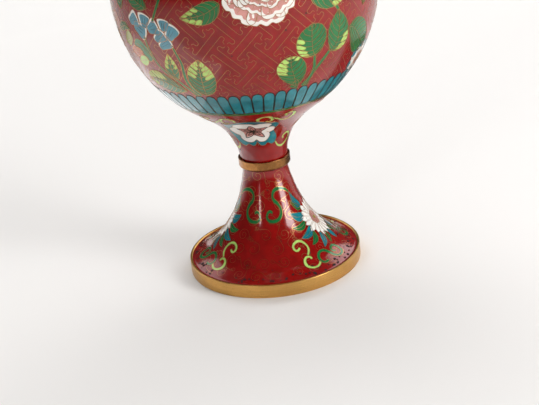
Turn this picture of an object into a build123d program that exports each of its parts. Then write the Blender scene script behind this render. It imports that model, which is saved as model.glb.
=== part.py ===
"""Cloisonne vase on a pedestal foot: globular body, waisted stem, trumpet foot, flared neck.

The walls are layered as the real ones are: an inner skin of counter-enamel, a spun copper core
in brazed sections, and an outer skin of enamel fields parted by flat brass wires. Brass mounts
finish the mouth, the stem and the foot, and one bolt through the stem clamps foot to body.

Frame: millimetres, +Z up, origin on the surface the vase stands on, at the centre of the foot.
"""

import os

from build123d import *

# Wall layers, as depths under the polished outside.
OUTSIDE = 0.0
ENAMEL_DEPTH = 0.6
COPPER_DEPTH = 1.5
WALL_DEPTH = 1.9

# Brass foot rim: a hoop with an inner ledge that carries the trumpet foot.
FOOT_RADIUS = 38.0
FOOT_RIM_HEIGHT = 6.0
FOOT_RIM_WALL = 1.6
FOOT_LEDGE_WIDTH = 4.4
FOOT_LEDGE_LOW = 2.6
FOOT_LEDGE_TOP = 4.0
RIM_EDGE = 0.35

# Stem joint: brass collar, closing discs and the bolt through them.
COLLAR_BOTTOM = 46.4
COLLAR_TOP = 50.2
COLLAR_RADIUS = 11.1
COLLAR_WEB_BOTTOM = 47.5
COLLAR_WEB_TOP = 48.6
COLLAR_UPPER_RECESS = 10.4
COLLAR_LOWER_RECESS = 9.95
COLLAR_TOP_EDGE = 0.25
COLLAR_LOW_EDGE = 0.7
FOOT_DISC_RADIUS = 8.1
WAIST_DISC_RADIUS = 8.3
DISC_THICKNESS = 1.5
BOLT_RADIUS = 2.5
BOLT_HOLE_RADIUS = 2.6
BOLT_HEAD_RADIUS = 4.2
BOLT_HEAD_HEIGHT = 3.0
BOLT_HEAD_EDGE = 0.8
BOLT_END = 38.0
WASHER_RADIUS = 5.0
WASHER_THICKNESS = 1.0
NUT_ACROSS_FLATS = 8.0
NUT_HEIGHT = 4.0

# Heights at which one enamel field gives way to the next, with a flat wire between them.
WAIST_FIELD_TOP = 80.3
GREEN_BORDER_TOP = 81.4
LAPPET_TOP = 91.6
SHOULDER_LAPPET_BOTTOM = 166.5
SHOULDER_LAPPET_TOP = 174.8
SHOULDER_BORDER_TOP = 176.0
WIRE = 0.3

# Brazed seams of the copper core.
WAIST_SEAM = 80.85
EQUATOR = 129.0
NECK_SEAM = 175.4

# Lappets: upright cells round the base and round the shoulder, with wires between them.
LAPPET_COUNT = 58
LAPPET_SHARE = 0.95
LAPPET_BEDDING = 0.02

# Brass bead that crowns the mouth.
BEAD_INNER_RADIUS = 22.9
BEAD_OUTER_RADIUS = 28.0
BEAD_BOTTOM = 224.6
BEAD_TOP = 228.6
BEAD_EDGE = 1.6
WALL_TOP = 226.0

# Outside of the trumpet foot, (radius, height), from the rim up to the collar.
FOOT_PROFILE = [
    (36.1, 5.7),
    (33.6, 6.8),
    (30.4, 8.4),
    (27.2, 11.2),
    (23.3, 15.0),
    (19.2, 20.0),
    (15.6, 26.0),
    (13.1, 32.0),
    (11.3, 38.0),
    (9.95, 44.0),
    (9.7, 47.5),
]

# Outside of waist, body and neck, (radius, height), from the collar up to the mouth.
BODY_PROFILE = [
    (9.9, 48.6),
    (10.3, 51.0),
    (10.7, 54.0),
    (12.0, 58.0),
    (13.9, 62.0),
    (16.9, 66.0),
    (21.2, 70.0),
    (28.0, 75.0),
    (34.2, 80.0),
    (39.9, 86.0),
    (45.1, 93.0),
    (49.4, 101.0),
    (52.6, 110.0),
    (54.5, 120.0),
    (55.0, 129.0),
    (54.2, 138.5),
    (51.8, 148.0),
    (47.2, 157.5),
    (39.6, 166.5),
    (30.0, 173.8),
    (22.6, 179.4),
    (17.9, 186.0),
    (15.8, 194.0),
    (15.8, 203.0),
    (17.6, 211.5),
    (21.2, 219.0),
    (26.6, 226.4),
]


def sunk(profile, depth):
    """The points of a profile moved inwards, square to its curve, by a depth."""
    with BuildLine():
        outside = Spline(*profile)
    moved = []
    for radius, height in profile:
        along = outside.tangent_at(Vector(radius, height))
        moved.append((radius - depth * along.Y, height + depth * along.X))
    return moved


def wall_section(profile, near, far, low, high):
    """Half cross-section of the wall between two depths and two heights."""
    reach = 4 * FOOT_RADIUS
    with BuildSketch(Plane.XZ) as half:
        with BuildLine():
            outside = Spline(*sunk(profile, near))
            inside = Spline(*sunk(profile, far))
            Line(outside @ 0, inside @ 0)
            Line(outside @ 1, inside @ 1)
        make_face()
        with Locations((0, (low + high) / 2)):
            Rectangle(reach, high - low, mode=Mode.INTERSECT)
    return half.sketch


def save(piece, name):
    """Label a finished piece and write it to its own STEP file."""
    piece.label = name
    export_step(piece, f"parts/{name}.step")


os.makedirs("parts", exist_ok=True)
half_wire = WIRE / 2

# Wall rings: (name, profile, near depth, far depth, low, high).
FOOT_RANGE = (FOOT_LEDGE_TOP, COLLAR_WEB_BOTTOM)
FOOT_LINING_RANGE = (FOOT_LEDGE_TOP, COLLAR_WEB_BOTTOM - DISC_THICKNESS)
BODY_LINING_RANGE = (COLLAR_WEB_TOP + DISC_THICKNESS, WALL_TOP)
SKIN = (OUTSIDE, ENAMEL_DEPTH)
CORE = (ENAMEL_DEPTH, COPPER_DEPTH)
LINING = (COPPER_DEPTH, WALL_DEPTH)
RINGS = [
    ("foot_enamel", FOOT_PROFILE, *SKIN, *FOOT_RANGE),
    ("foot_core", FOOT_PROFILE, *CORE, *FOOT_RANGE),
    ("foot_counter_enamel", FOOT_PROFILE, *LINING, *FOOT_LINING_RANGE),
    ("waist_core", BODY_PROFILE, *CORE, COLLAR_WEB_TOP, WAIST_SEAM),
    ("body_lower_core", BODY_PROFILE, *CORE, WAIST_SEAM, EQUATOR),
    ("body_upper_core", BODY_PROFILE, *CORE, EQUATOR, NECK_SEAM),
    ("neck_core", BODY_PROFILE, *CORE, NECK_SEAM, WALL_TOP),
    ("body_counter_enamel", BODY_PROFILE, *LINING, *BODY_LINING_RANGE),
    ("waist_enamel", BODY_PROFILE, *SKIN, COLLAR_WEB_TOP, WAIST_FIELD_TOP - half_wire),
    (
        "green_border_enamel",
        BODY_PROFILE,
        *SKIN,
        WAIST_FIELD_TOP + half_wire,
        GREEN_BORDER_TOP - half_wire,
    ),
    (
        "body_enamel",
        BODY_PROFILE,
        *SKIN,
        LAPPET_TOP + half_wire,
        SHOULDER_LAPPET_BOTTOM - half_wire,
    ),
    (
        "shoulder_border_enamel",
        BODY_PROFILE,
        *SKIN,
        SHOULDER_LAPPET_TOP + half_wire,
        SHOULDER_BORDER_TOP - half_wire,
    ),
    ("neck_enamel", BODY_PROFILE, *SKIN, SHOULDER_BORDER_TOP + half_wire, WALL_TOP),
]

for name, profile, near, far, low, high in RINGS:
    with BuildPart() as ring:
        add(wall_section(profile, near, far, low, high))
        revolve(axis=Axis.Z)
    save(ring.part, name)

# Ring wires: flat brass hoops that part the enamel fields.
WIRE_HOOPS = {
    "base_ring_wires": [WAIST_FIELD_TOP, GREEN_BORDER_TOP, LAPPET_TOP],
    "shoulder_ring_wires": [SHOULDER_LAPPET_BOTTOM, SHOULDER_LAPPET_TOP, SHOULDER_BORDER_TOP],
}

for name, heights in WIRE_HOOPS.items():
    with BuildPart() as hoops:
        for height in heights:
            add(wall_section(BODY_PROFILE, *SKIN, height - half_wire, height + half_wire))
            revolve(axis=Axis.Z)
    save(hoops.part, name)

# Lappet bands: cells of turquoise enamel all round, each fenced by upright wires.
PITCH = 360 / LAPPET_COUNT
LAPPET_BANDS = {
    "base": (GREEN_BORDER_TOP + half_wire, LAPPET_TOP - half_wire),
    "shoulder": (SHOULDER_LAPPET_BOTTOM + half_wire, SHOULDER_LAPPET_TOP - half_wire),
}

for place, (low, high) in LAPPET_BANDS.items():
    outline = wall_section(BODY_PROFILE, OUTSIDE, ENAMEL_DEPTH - LAPPET_BEDDING, low, high)
    for kind, start, share in (
        ("lappet_enamel", 0, LAPPET_SHARE),
        ("lappet_wires", LAPPET_SHARE, 1 - LAPPET_SHARE),
    ):
        with BuildPart() as cell:
            add(outline)
            revolve(axis=Axis.Z, revolution_arc=share * PITCH)
        with BuildPart() as cells:
            with PolarLocations(0, LAPPET_COUNT, start_angle=start * PITCH):
                add(cell.part)
        save(cells.part, f"{place}_{kind}")

# Foot rim: the brass hoop the vase stands on.
with BuildPart() as foot_rim:
    with BuildSketch(Plane.XZ):
        with Locations((FOOT_RADIUS, 0)):
            Rectangle(FOOT_RIM_WALL, FOOT_RIM_HEIGHT, align=(Align.MAX, Align.MIN))
        with Locations((FOOT_RADIUS - FOOT_RIM_WALL, FOOT_LEDGE_LOW)):
            Rectangle(
                FOOT_LEDGE_WIDTH,
                FOOT_LEDGE_TOP - FOOT_LEDGE_LOW,
                align=(Align.MAX, Align.MIN),
            )
    revolve(axis=Axis.Z)
    outer_edges = foot_rim.edges().filter_by(GeomType.CIRCLE).group_by(SortBy.RADIUS)[-1]
    fillet(outer_edges, RIM_EDGE)
save(foot_rim.part, "foot_rim")

# Stem collar: a brass ring with a web across it that both halves seat on.
with BuildPart() as stem_collar:
    with BuildSketch(Plane.XY.offset(COLLAR_BOTTOM)):
        Circle(COLLAR_RADIUS)
    extrude(amount=COLLAR_TOP - COLLAR_BOTTOM)
    fillet(stem_collar.edges().sort_by(Axis.Z)[-1], COLLAR_TOP_EDGE)
    fillet(stem_collar.edges().sort_by(Axis.Z)[0], COLLAR_LOW_EDGE)
    with BuildSketch(Plane.XY.offset(COLLAR_WEB_TOP)):
        Circle(COLLAR_UPPER_RECESS)
    extrude(amount=COLLAR_TOP - COLLAR_WEB_TOP, mode=Mode.SUBTRACT)
    with BuildSketch(Plane.XY.offset(COLLAR_BOTTOM)):
        Circle(COLLAR_LOWER_RECESS)
    extrude(amount=COLLAR_WEB_BOTTOM - COLLAR_BOTTOM, mode=Mode.SUBTRACT)
    with BuildSketch(Plane.XY.offset(COLLAR_WEB_BOTTOM)):
        Circle(BOLT_HOLE_RADIUS)
    extrude(amount=COLLAR_WEB_TOP - COLLAR_WEB_BOTTOM, mode=Mode.SUBTRACT)
save(stem_collar.part, "stem_collar")

# Closing discs: brazed across the foot's top and the waist's bottom, both drilled for the bolt.
for name, radius, low in (
    ("foot_top_disc", FOOT_DISC_RADIUS, COLLAR_WEB_BOTTOM - DISC_THICKNESS),
    ("waist_base_disc", WAIST_DISC_RADIUS, COLLAR_WEB_TOP),
):
    with BuildPart() as plate:
        with BuildSketch(Plane.XY.offset(low)):
            Circle(radius)
            Circle(BOLT_HOLE_RADIUS, mode=Mode.SUBTRACT)
        extrude(amount=DISC_THICKNESS)
    save(plate.part, name)

# Tie bolt: its domed head sits on the waist disc and its end hangs inside the foot.
with BuildPart() as tie_bolt:
    head_seat = COLLAR_WEB_TOP + DISC_THICKNESS
    with BuildSketch(Plane.XY.offset(head_seat)):
        Circle(BOLT_HEAD_RADIUS)
    extrude(amount=BOLT_HEAD_HEIGHT)
    fillet(tie_bolt.edges().sort_by(Axis.Z)[-1], BOLT_HEAD_EDGE)
    with BuildSketch(Plane.XY.offset(BOLT_END)):
        Circle(BOLT_RADIUS)
    extrude(amount=head_seat - BOLT_END)
    chamfer(tie_bolt.edges().sort_by(Axis.Z)[0], WIRE)
save(tie_bolt.part, "tie_bolt")

# Washer and hexagon nut under the foot's top disc.
washer_low = COLLAR_WEB_BOTTOM - DISC_THICKNESS - WASHER_THICKNESS
with BuildPart() as tie_washer:
    with BuildSketch(Plane.XY.offset(washer_low)):
        Circle(WASHER_RADIUS)
        Circle(BOLT_HOLE_RADIUS, mode=Mode.SUBTRACT)
    extrude(amount=WASHER_THICKNESS)
save(tie_washer.part, "tie_washer")

with BuildPart() as tie_nut:
    with BuildSketch(Plane.XY.offset(washer_low - NUT_HEIGHT)):
        RegularPolygon(NUT_ACROSS_FLATS / 2, 6, major_radius=False)
        Circle(BOLT_RADIUS, mode=Mode.SUBTRACT)
    extrude(amount=NUT_HEIGHT)
save(tie_nut.part, "tie_nut")

# Mouth bead: a rounded brass ring slotted over the top edge of the neck.
with BuildPart() as mouth_rim:
    with BuildSketch(Plane.XZ) as bead:
        with Locations((BEAD_INNER_RADIUS, BEAD_BOTTOM)):
            Rectangle(
                BEAD_OUTER_RADIUS - BEAD_INNER_RADIUS,
                BEAD_TOP - BEAD_BOTTOM,
                align=(Align.MIN, Align.MIN),
            )
        fillet(bead.vertices(), BEAD_EDGE)
        add(
            wall_section(BODY_PROFILE, OUTSIDE, WALL_DEPTH, NECK_SEAM, WALL_TOP),
            mode=Mode.SUBTRACT,
        )
    revolve(axis=Axis.Z)
save(mouth_rim.part, "mouth_rim")
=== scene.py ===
"""Looks of a cloisonne vase: turned enamel skins, wired cells, key fret and satin brass mounts.

Patterns are drawn in millimetres on charts, which are the turned walls unrolled flat: u runs round
the vase from the middle of its front, v climbs along the wall from its lower end. Every cell is a
thin closed inlay and every wire a flat strip, both laid on the wall at their own small height.
"""

import math

import bpy
import numpy as np
from bpy.props import FloatProperty, FloatVectorProperty, IntProperty, PointerProperty
from mathutils import Matrix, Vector
from mathutils.geometry import delaunay_2d_cdt


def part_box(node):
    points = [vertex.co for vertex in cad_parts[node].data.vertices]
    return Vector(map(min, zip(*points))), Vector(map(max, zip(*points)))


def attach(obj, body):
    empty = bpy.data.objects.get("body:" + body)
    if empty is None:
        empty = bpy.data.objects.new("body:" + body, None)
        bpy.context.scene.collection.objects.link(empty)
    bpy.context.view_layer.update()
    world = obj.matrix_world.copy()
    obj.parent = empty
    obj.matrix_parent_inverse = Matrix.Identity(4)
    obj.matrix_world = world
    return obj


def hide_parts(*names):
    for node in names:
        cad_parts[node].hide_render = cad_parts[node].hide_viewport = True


bl_info = {
    "name": "Cloisonne Vase",
    "version": (1, 0, 0),
    "blender": (4, 5, 0),
    "location": "View3D > Sidebar > Vase",
    "description": "Builds the enamel, wires and brass of a cloisonne vase round its turned walls",
    "category": "Add Mesh",
}

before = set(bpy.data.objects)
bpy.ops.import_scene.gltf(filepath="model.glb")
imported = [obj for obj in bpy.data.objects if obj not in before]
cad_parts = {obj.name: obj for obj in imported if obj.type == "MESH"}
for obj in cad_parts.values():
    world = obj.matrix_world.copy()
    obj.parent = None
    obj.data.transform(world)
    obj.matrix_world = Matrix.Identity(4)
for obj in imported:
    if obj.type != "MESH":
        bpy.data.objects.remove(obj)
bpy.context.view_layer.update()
MM = 0.001

# Outside of the trumpet foot and of the body, (radius, height) in millimetres, as they are turned.
FOOT_LINE = [
    (36.1, 5.7), (33.6, 6.8), (30.4, 8.4), (27.2, 11.2), (23.3, 15.0), (19.2, 20.0),
    (15.6, 26.0), (13.1, 32.0), (11.3, 38.0), (9.95, 44.0), (9.7, 47.5),
]
BODY_LINE = [
    (9.9, 48.6), (10.3, 51.0), (10.7, 54.0), (12.0, 58.0), (13.9, 62.0), (16.9, 66.0),
    (21.2, 70.0), (28.0, 75.0), (34.2, 80.0), (39.9, 86.0), (45.1, 93.0), (49.4, 101.0),
    (52.6, 110.0), (54.5, 120.0), (55.0, 129.0), (54.2, 138.5), (51.8, 148.0), (47.2, 157.5),
    (39.6, 166.5), (30.0, 173.8), (22.6, 179.4), (17.9, 186.0), (15.8, 194.0), (15.8, 203.0),
    (17.6, 211.5), (21.2, 219.0), (26.6, 226.4),
]

# Layers of the decoration above the ground, in millimetres.
SINK = 0.15
FRET_LIFT = 0.03
CELL_LIFT = 0.05
TIP_LIFT = 0.07
WIRE_LIFT = 0.1


# ---------------------------------------------------------------- lines and charts


def natural_spline(points, samples):
    """Points on a natural cubic spline through the given points, spaced by chord length."""
    points = np.array(points, float)
    knots = np.r_[0, np.cumsum(np.hypot(*np.diff(points, axis=0).T))]
    step = np.diff(knots)
    count = len(points)
    system = np.zeros((count, count))
    target = np.zeros((count, 2))
    system[0, 0] = system[-1, -1] = 1
    for i in range(1, count - 1):
        system[i, i - 1 : i + 2] = step[i - 1], 2 * (step[i - 1] + step[i]), step[i]
        rise = (points[i + 1] - points[i]) / step[i]
        target[i] = 6 * (rise - (points[i] - points[i - 1]) / step[i - 1])
    bend = np.linalg.solve(system, target)
    at = np.linspace(0, knots[-1], samples)
    k = np.clip(np.searchsorted(knots, at) - 1, 0, count - 2)
    h = step[k][:, None]
    a = (knots[k + 1] - at)[:, None]
    b = (at - knots[k])[:, None]
    ends = (points[k] / h - bend[k] * h / 6) * a + (points[k + 1] / h - bend[k + 1] * h / 6) * b
    return bend[k] * a**3 / (6 * h) + bend[k + 1] * b**3 / (6 * h) + ends


def respace(line, step, closed=False):
    """The same line with its points evenly spaced at about the given step."""
    line = np.asarray(line, float)
    if closed:
        line = np.vstack([line, line[:1]])
    along = np.r_[0, np.cumsum(np.hypot(*np.diff(line, axis=0).T))]
    pieces = max(2, int(math.ceil(along[-1] / step)))
    at = np.linspace(0, along[-1], pieces + 1)
    spaced = np.stack([np.interp(at, along, line[:, k]) for k in (0, 1)], -1)
    return spaced[:-1] if closed else spaced


def smooth(points, closed=False, step=0.6):
    """A rounded line through given points, evenly spaced."""
    p = np.asarray(points, float)
    if closed:
        p = np.vstack([p[-1:], p, p[:2]])
    else:
        p = np.vstack([2 * p[0] - p[1], p, 2 * p[-1] - p[-2]])
    t = np.linspace(0, 1, 12, endpoint=False)[:, None]
    spans = []
    for a, b, c, d in zip(p[:-3], p[1:-2], p[2:-1], p[3:]):
        spans.append(
            0.5 * (2 * b + (c - a) * t + (2 * a - 5 * b + 4 * c - d) * t**2
                   + (3 * b - a - 3 * c + d) * t**3)
        )
    line = np.vstack(spans) if closed else np.vstack(spans + [p[-2:-1]])
    return respace(line, step, closed)


class Chart:
    """A turned wall unrolled flat, true to size round it only where its radius is the reference."""

    def __init__(self, line, reference):
        self.reference = reference
        curve = natural_spline(line, 4000)
        self.v = np.r_[0, np.cumsum(np.hypot(*np.diff(curve, axis=0).T))]
        self.radius, self.height = curve.T
        slope = np.gradient(curve, self.v, axis=0)
        self.out, self.up = slope[:, 1], -slope[:, 0]
        self.length = self.v[-1]
        self.girth = 2 * math.pi * reference

    def v_at(self, height):
        """The v of a height, on a wall that only climbs."""
        return float(np.interp(height, self.height, self.v))

    def section(self, v, depth):
        """Radius and height, in millimetres, at v and a depth under the surface."""
        radius = np.interp(v, self.v, self.radius) - depth * np.interp(v, self.v, self.out)
        height = np.interp(v, self.v, self.height) - depth * np.interp(v, self.v, self.up)
        return radius, height

    def place(self, flat, lift=0.0):
        """Points in metres for chart points, raised off the wall by a lift in millimetres."""
        flat = np.asarray(flat, float)
        radius, height = self.section(flat[:, 1], -lift)
        turn = flat[:, 0] / self.reference - math.pi / 2
        return np.stack([radius * np.cos(turn), radius * np.sin(turn), height], -1) * MM

    def normal(self, flat):
        """Outward directions at chart points."""
        flat = np.asarray(flat, float)
        turn = flat[:, 0] / self.reference - math.pi / 2
        out = np.interp(flat[:, 1], self.v, self.out)
        up = np.interp(flat[:, 1], self.v, self.up)
        return np.stack([out * np.cos(turn), out * np.sin(turn), up], -1)

    def spot(self, shape, u, v, turn=0.0):
        """A shape drawn in true millimetres, turned and put on the chart at (u, v)."""
        shape = np.asarray(shape, float)
        c, s = math.cos(turn), math.sin(turn)
        x = shape[:, 0] * c - shape[:, 1] * s
        y = shape[:, 0] * s + shape[:, 1] * c
        at = v + y
        return np.stack([u + x * self.reference / np.interp(at, self.v, self.radius), at], -1)


FOOT = Chart(FOOT_LINE, 25.0)
WAIST = Chart(BODY_LINE, 20.0)
BODY = Chart(BODY_LINE, 50.0)
NECK = Chart(BODY_LINE, 25.0)


def inside(outline, points):
    """Which points lie inside a closed outline."""
    x, y = points[:, 0], points[:, 1]
    hit = np.zeros(len(points), bool)
    for (x0, y0), (x1, y1) in zip(outline, np.roll(outline, -1, axis=0)):
        if y0 != y1:
            across = (y0 > y) != (y1 > y)
            hit ^= across & (x < (x1 - x0) * (y - y0) / (y1 - y0) + x0)
    return hit


# ---------------------------------------------------------------- meshes from cells and wires


class Sheet:
    """Vertices and faces gathered for one piece."""

    def __init__(self):
        self.points = []
        self.faces = []
        self.count = 0

    def add(self, points, faces):
        self.points.append(np.asarray(points))
        self.faces += [tuple(self.count + i for i in face) for face in faces]
        self.count += len(points)

    def mesh(self, name):
        built = bpy.data.meshes.new(name)
        built.from_pydata(np.vstack(self.points).tolist(), [], self.faces)
        built.validate()
        built.update()
        return built


class Cells(Sheet):
    """Thin closed inlays of one enamel colour."""

    def fill(self, chart, outline, lift=CELL_LIFT, grain=1.5):
        """Adds one cell: a curved top that follows the wall, sides, and a bottom sunk into it."""
        outline = np.asarray(outline, float)
        x, y = outline.T
        if np.sum(x * np.roll(y, -1) - y * np.roll(x, -1)) < 0:
            outline = outline[::-1]
        low, high = outline.min(0), outline.max(0)
        grid = np.stack(
            np.meshgrid(*[np.arange(low[k] + grain / 2, high[k], grain) for k in (0, 1)]), -1
        ).reshape(-1, 2)
        grid = grid[inside(outline, grid)]
        if len(grid):
            gap = np.hypot(*(grid[:, None] - outline[None]).transpose(2, 0, 1)).min(1)
            grid = grid[gap > 0.45 * grain]
        corners = np.vstack([outline, grid]).tolist()
        ring = [list(range(len(outline)))]
        flat, _, faces, *_ = delaunay_2d_cdt(corners, [], ring, 1, 1e-5)
        flat = np.array([tuple(p) for p in flat])
        if not len(faces):
            return
        size = len(flat)
        sides = {}
        for face in faces:
            for a, b in zip(face, face[1:] + face[:1]):
                sides[(a, b)] = True
        rim = [(a, b) for a, b in sides if (b, a) not in sides]
        solid = [tuple(face) for face in faces]
        solid += [tuple(size + i for i in reversed(face)) for face in faces]
        solid += [(b, a, size + a, size + b) for a, b in rim]
        self.add(np.vstack([chart.place(flat, lift), chart.place(flat, -SINK)]), solid)


class Wires(Sheet):
    """Flat strips on edge, ground flush, so that only their narrow tops show."""

    def lay(self, chart, path, width, lift=WIRE_LIFT, closed=False):
        """Adds one wire along a path on the chart."""
        path = np.asarray(path, float)
        middle = chart.place(path)
        if closed:
            along = np.roll(middle, -1, 0) - np.roll(middle, 1, 0)
        else:
            along = np.gradient(middle, axis=0)
        up = chart.normal(path)
        side = np.cross(along, up)
        side *= width * MM / 2 / np.maximum(np.linalg.norm(side, axis=1)[:, None], 1e-12)
        top = middle + up * lift * MM
        low = middle - up * SINK * MM
        rows = np.stack([top - side, top + side, low + side, low - side], 1)
        count = len(path)
        faces = []
        for i in range(count if closed else count - 1):
            a, b = 4 * i, 4 * ((i + 1) % count)
            faces += [(a + (k + 1) % 4, a + k, b + k, b + (k + 1) % 4) for k in range(4)]
        if not closed:
            faces += [(0, 1, 2, 3), tuple(4 * (count - 1) + k for k in (3, 2, 1, 0))]
        self.add(rows.reshape(-1, 3), faces)


# ---------------------------------------------------------------- shapes on the charts


def band(path, start, middle, end):
    """The outline of a stroke along a path, with its width at the start, middle and end."""
    path = np.asarray(path, float)
    t = np.linspace(0, 1, len(path))
    width = np.where(t < 0.5, start + (middle - start) * 2 * t, middle + (end - middle) * (2 * t - 1))
    along = np.gradient(path, axis=0)
    along /= np.hypot(*along.T)[:, None]
    side = np.stack([-along[:, 1], along[:, 0]], -1) * width[:, None] / 2
    return np.vstack([path + side, (path - side)[::-1]])


def blade(base, tip, width, bend):
    """The two sides, base to tip, of a pointed leaf that curves sideways."""
    base, tip = np.array(base, float), np.array(tip, float)
    t = np.linspace(0, 1, 16)[:, None]
    across = np.array([-(tip - base)[1], (tip - base)[0]]) / np.hypot(*(tip - base))
    spine = base + (tip - base) * t + across * bend * 4 * t * (1 - t)
    half = width / 2 * np.sin(math.pi * t**0.75) ** 0.8
    return spine + across * half, spine - across * half


def ring_of(radius, count, depth, step=0.5):
    """A circle with a scalloped edge, in true millimetres round its own middle."""
    turns = np.linspace(0, 2 * math.pi, 16 * count, endpoint=False)
    edge = radius - depth * (1 - np.abs(np.sin(count * turns / 2)) ** 0.7)
    return respace(np.stack([edge * np.cos(turns), edge * np.sin(turns)], -1), step, True)


def petal(inner, outer, width, point=0.0, step=0.5):
    """A petal along +Y from its inner to its outer radius, round or pointed at the tip."""
    long = outer - inner
    half = [
        (0.22 * width, inner), (0.38 * width, inner + 0.35 * long),
        (0.5 * width, inner + 0.68 * long), ((0.36 - 0.2 * point) * width, inner + 0.9 * long),
    ]
    points = half + [(0.0, outer)] + [(-x, y) for x, y in reversed(half)]
    return smooth(points, True, step)


def spiral(centre, radius, turns, start, hand):
    """A fine scroll that winds in to its centre."""
    t = np.linspace(0, 1, max(8, int(14 * turns)))
    angle = start + hand * 2 * math.pi * turns * t
    reach = radius * (1 - 0.86 * t)
    return np.stack([centre[0] + reach * np.cos(angle), centre[1] + reach * np.sin(angle)], -1)


def mirrored(points, axis):
    """Chart points reflected about an upright line."""
    points = np.asarray(points, float)
    return np.stack([2 * axis - points[:, 0], points[:, 1]], -1)


def moved(points, u=0.0, v=0.0):
    """Chart points carried along."""
    return np.asarray(points, float) + (u, v)


# ---------------------------------------------------------------- settings


def colour(name, description, default):
    """A colour setting."""
    return FloatVectorProperty(
        name=name, description=description, default=default, subtype="COLOR", size=3, min=0, max=1
    )


class VaseSizes(bpy.types.PropertyGroup):
    """Sizes of the decoration, in millimetres."""

    fret_wire: FloatProperty(
        name="Fret Wire", description="Width of the key fret's wire", default=0.17, min=0.05
    )
    cell_wire: FloatProperty(
        name="Cell Wire", description="Width of the wire round leaves and petals", default=0.19, min=0.05
    )
    border_wire: FloatProperty(
        name="Border Wire", description="Width of the hoops between bands", default=0.3, min=0.05
    )
    lappets: IntProperty(
        name="Lappets", description="Lappets round each band", default=58, min=8
    )
    fret_repeats: IntProperty(
        name="Fret Repeats", description="Fret repeats round the body", default=24, min=4
    )
    segments: IntProperty(
        name="Segments", description="Facets round each turned wall", default=288, min=32
    )
    seed: IntProperty(name="Seed", description="Where the pinholes fall", default=7, min=0)


class VaseColours(bpy.types.PropertyGroup):
    """Colours of the enamels and metals."""

    red: colour("Red", "Ground enamel", (0.275, 0.004, 0.003))
    leaf: colour("Leaf", "Leaf and vine enamel", (0.012, 0.17, 0.042))
    tip: colour("Leaf Tip", "Pale enamel of leaf tips and scrolls", (0.47, 0.72, 0.17))
    turquoise: colour("Turquoise", "Lappets and blossoms", (0.012, 0.215, 0.255))
    white: colour("White", "White petals", (0.88, 0.84, 0.78))
    pink: colour("Pink", "Petal hearts", (0.66, 0.30, 0.26))
    orange: colour("Orange", "Autumn leaf patch", (0.55, 0.1, 0.003))
    yellow: colour("Yellow", "Olive yellow leaf patch and stamens", (0.36, 0.37, 0.05))
    branch: colour("Branch", "Plum branches", (0.16, 0.07, 0.022))
    blue: colour("Blue", "Blue blossoms of the sprays", (0.11, 0.33, 0.42))
    pit: colour("Pit", "Scale in the pinholes", (0.012, 0.007, 0.006))
    lining: colour("Counter-enamel", "Enamel on the inner walls", (0.045, 0.23, 0.27))
    brass: colour("Brass", "Foot and mouth rims", (0.74, 0.41, 0.12))
    old_brass: colour("Aged Brass", "Stem collar", (0.36, 0.165, 0.055))
    wire: colour("Wire", "Wires that part the cells", (0.50, 0.25, 0.10))
    dark_wire: colour("Dark Wire", "Wires round the lappets", (0.045, 0.05, 0.035))
    copper: colour("Copper", "Spun cores", (0.60, 0.24, 0.12))
    steel: colour("Steel", "Bolt, nut and washer", (0.50, 0.50, 0.52))


def sizes():
    """The scene's size settings."""
    return bpy.context.scene.vase_sizes


# ---------------------------------------------------------------- shader groups and materials


def new_group(name, kind, inputs, outputs):
    """A node group with named sockets: (name, socket type, default)."""
    group = bpy.data.node_groups.new(name, kind)
    for label, socket_type, default in inputs:
        socket = group.interface.new_socket(name=label, in_out="INPUT", socket_type=socket_type)
        if default is not None:
            socket.default_value = default
    for label, socket_type in outputs:
        group.interface.new_socket(name=label, in_out="OUTPUT", socket_type=socket_type)
    return group


class Graph:
    """Short ways to add and join nodes in a tree."""

    def __init__(self, tree):
        self.tree = tree

    def node(self, kind, settings=None, **links):
        """Adds a node, sets its properties, and joins or sets its inputs by name or index."""
        made = self.tree.nodes.new(kind)
        for key, value in (settings or {}).items():
            setattr(made, key, value)
        for key, value in links.items():
            self.feed(made, key.replace("_", " "), value)
        return made

    def feed(self, made, key, value):
        """Joins a socket to an input, or sets the input's value."""
        socket = made.inputs[key]
        if isinstance(value, bpy.types.NodeSocket):
            self.tree.links.new(value, socket)
        else:
            socket.default_value = value

    def math(self, operation, first, second=0.0, third=0.0):
        made = self.tree.nodes.new("ShaderNodeMath")
        made.operation = operation
        for index, value in enumerate((first, second, third)):
            self.feed(made, index, value)
        return made.outputs[0]

    def mix(self, factor, first, second):
        """A colour between two."""
        made = self.tree.nodes.new("ShaderNodeMix")
        made.data_type = "RGBA"
        for index, value in ((0, factor), (6, first), (7, second)):
            self.feed(made, index, value)
        return made.outputs[2]

    def spread(self, value, low, high, to_low, to_high):
        """A value mapped from one range to another, and held there."""
        made = self.tree.nodes.new("ShaderNodeMapRange")
        for index, number in enumerate((value, low, high, to_low, to_high)):
            self.feed(made, index, number)
        return made.outputs[0]


COLOUR, FLOAT, VECTOR = "NodeSocketColor", "NodeSocketFloat", "NodeSocketVector"


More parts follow.
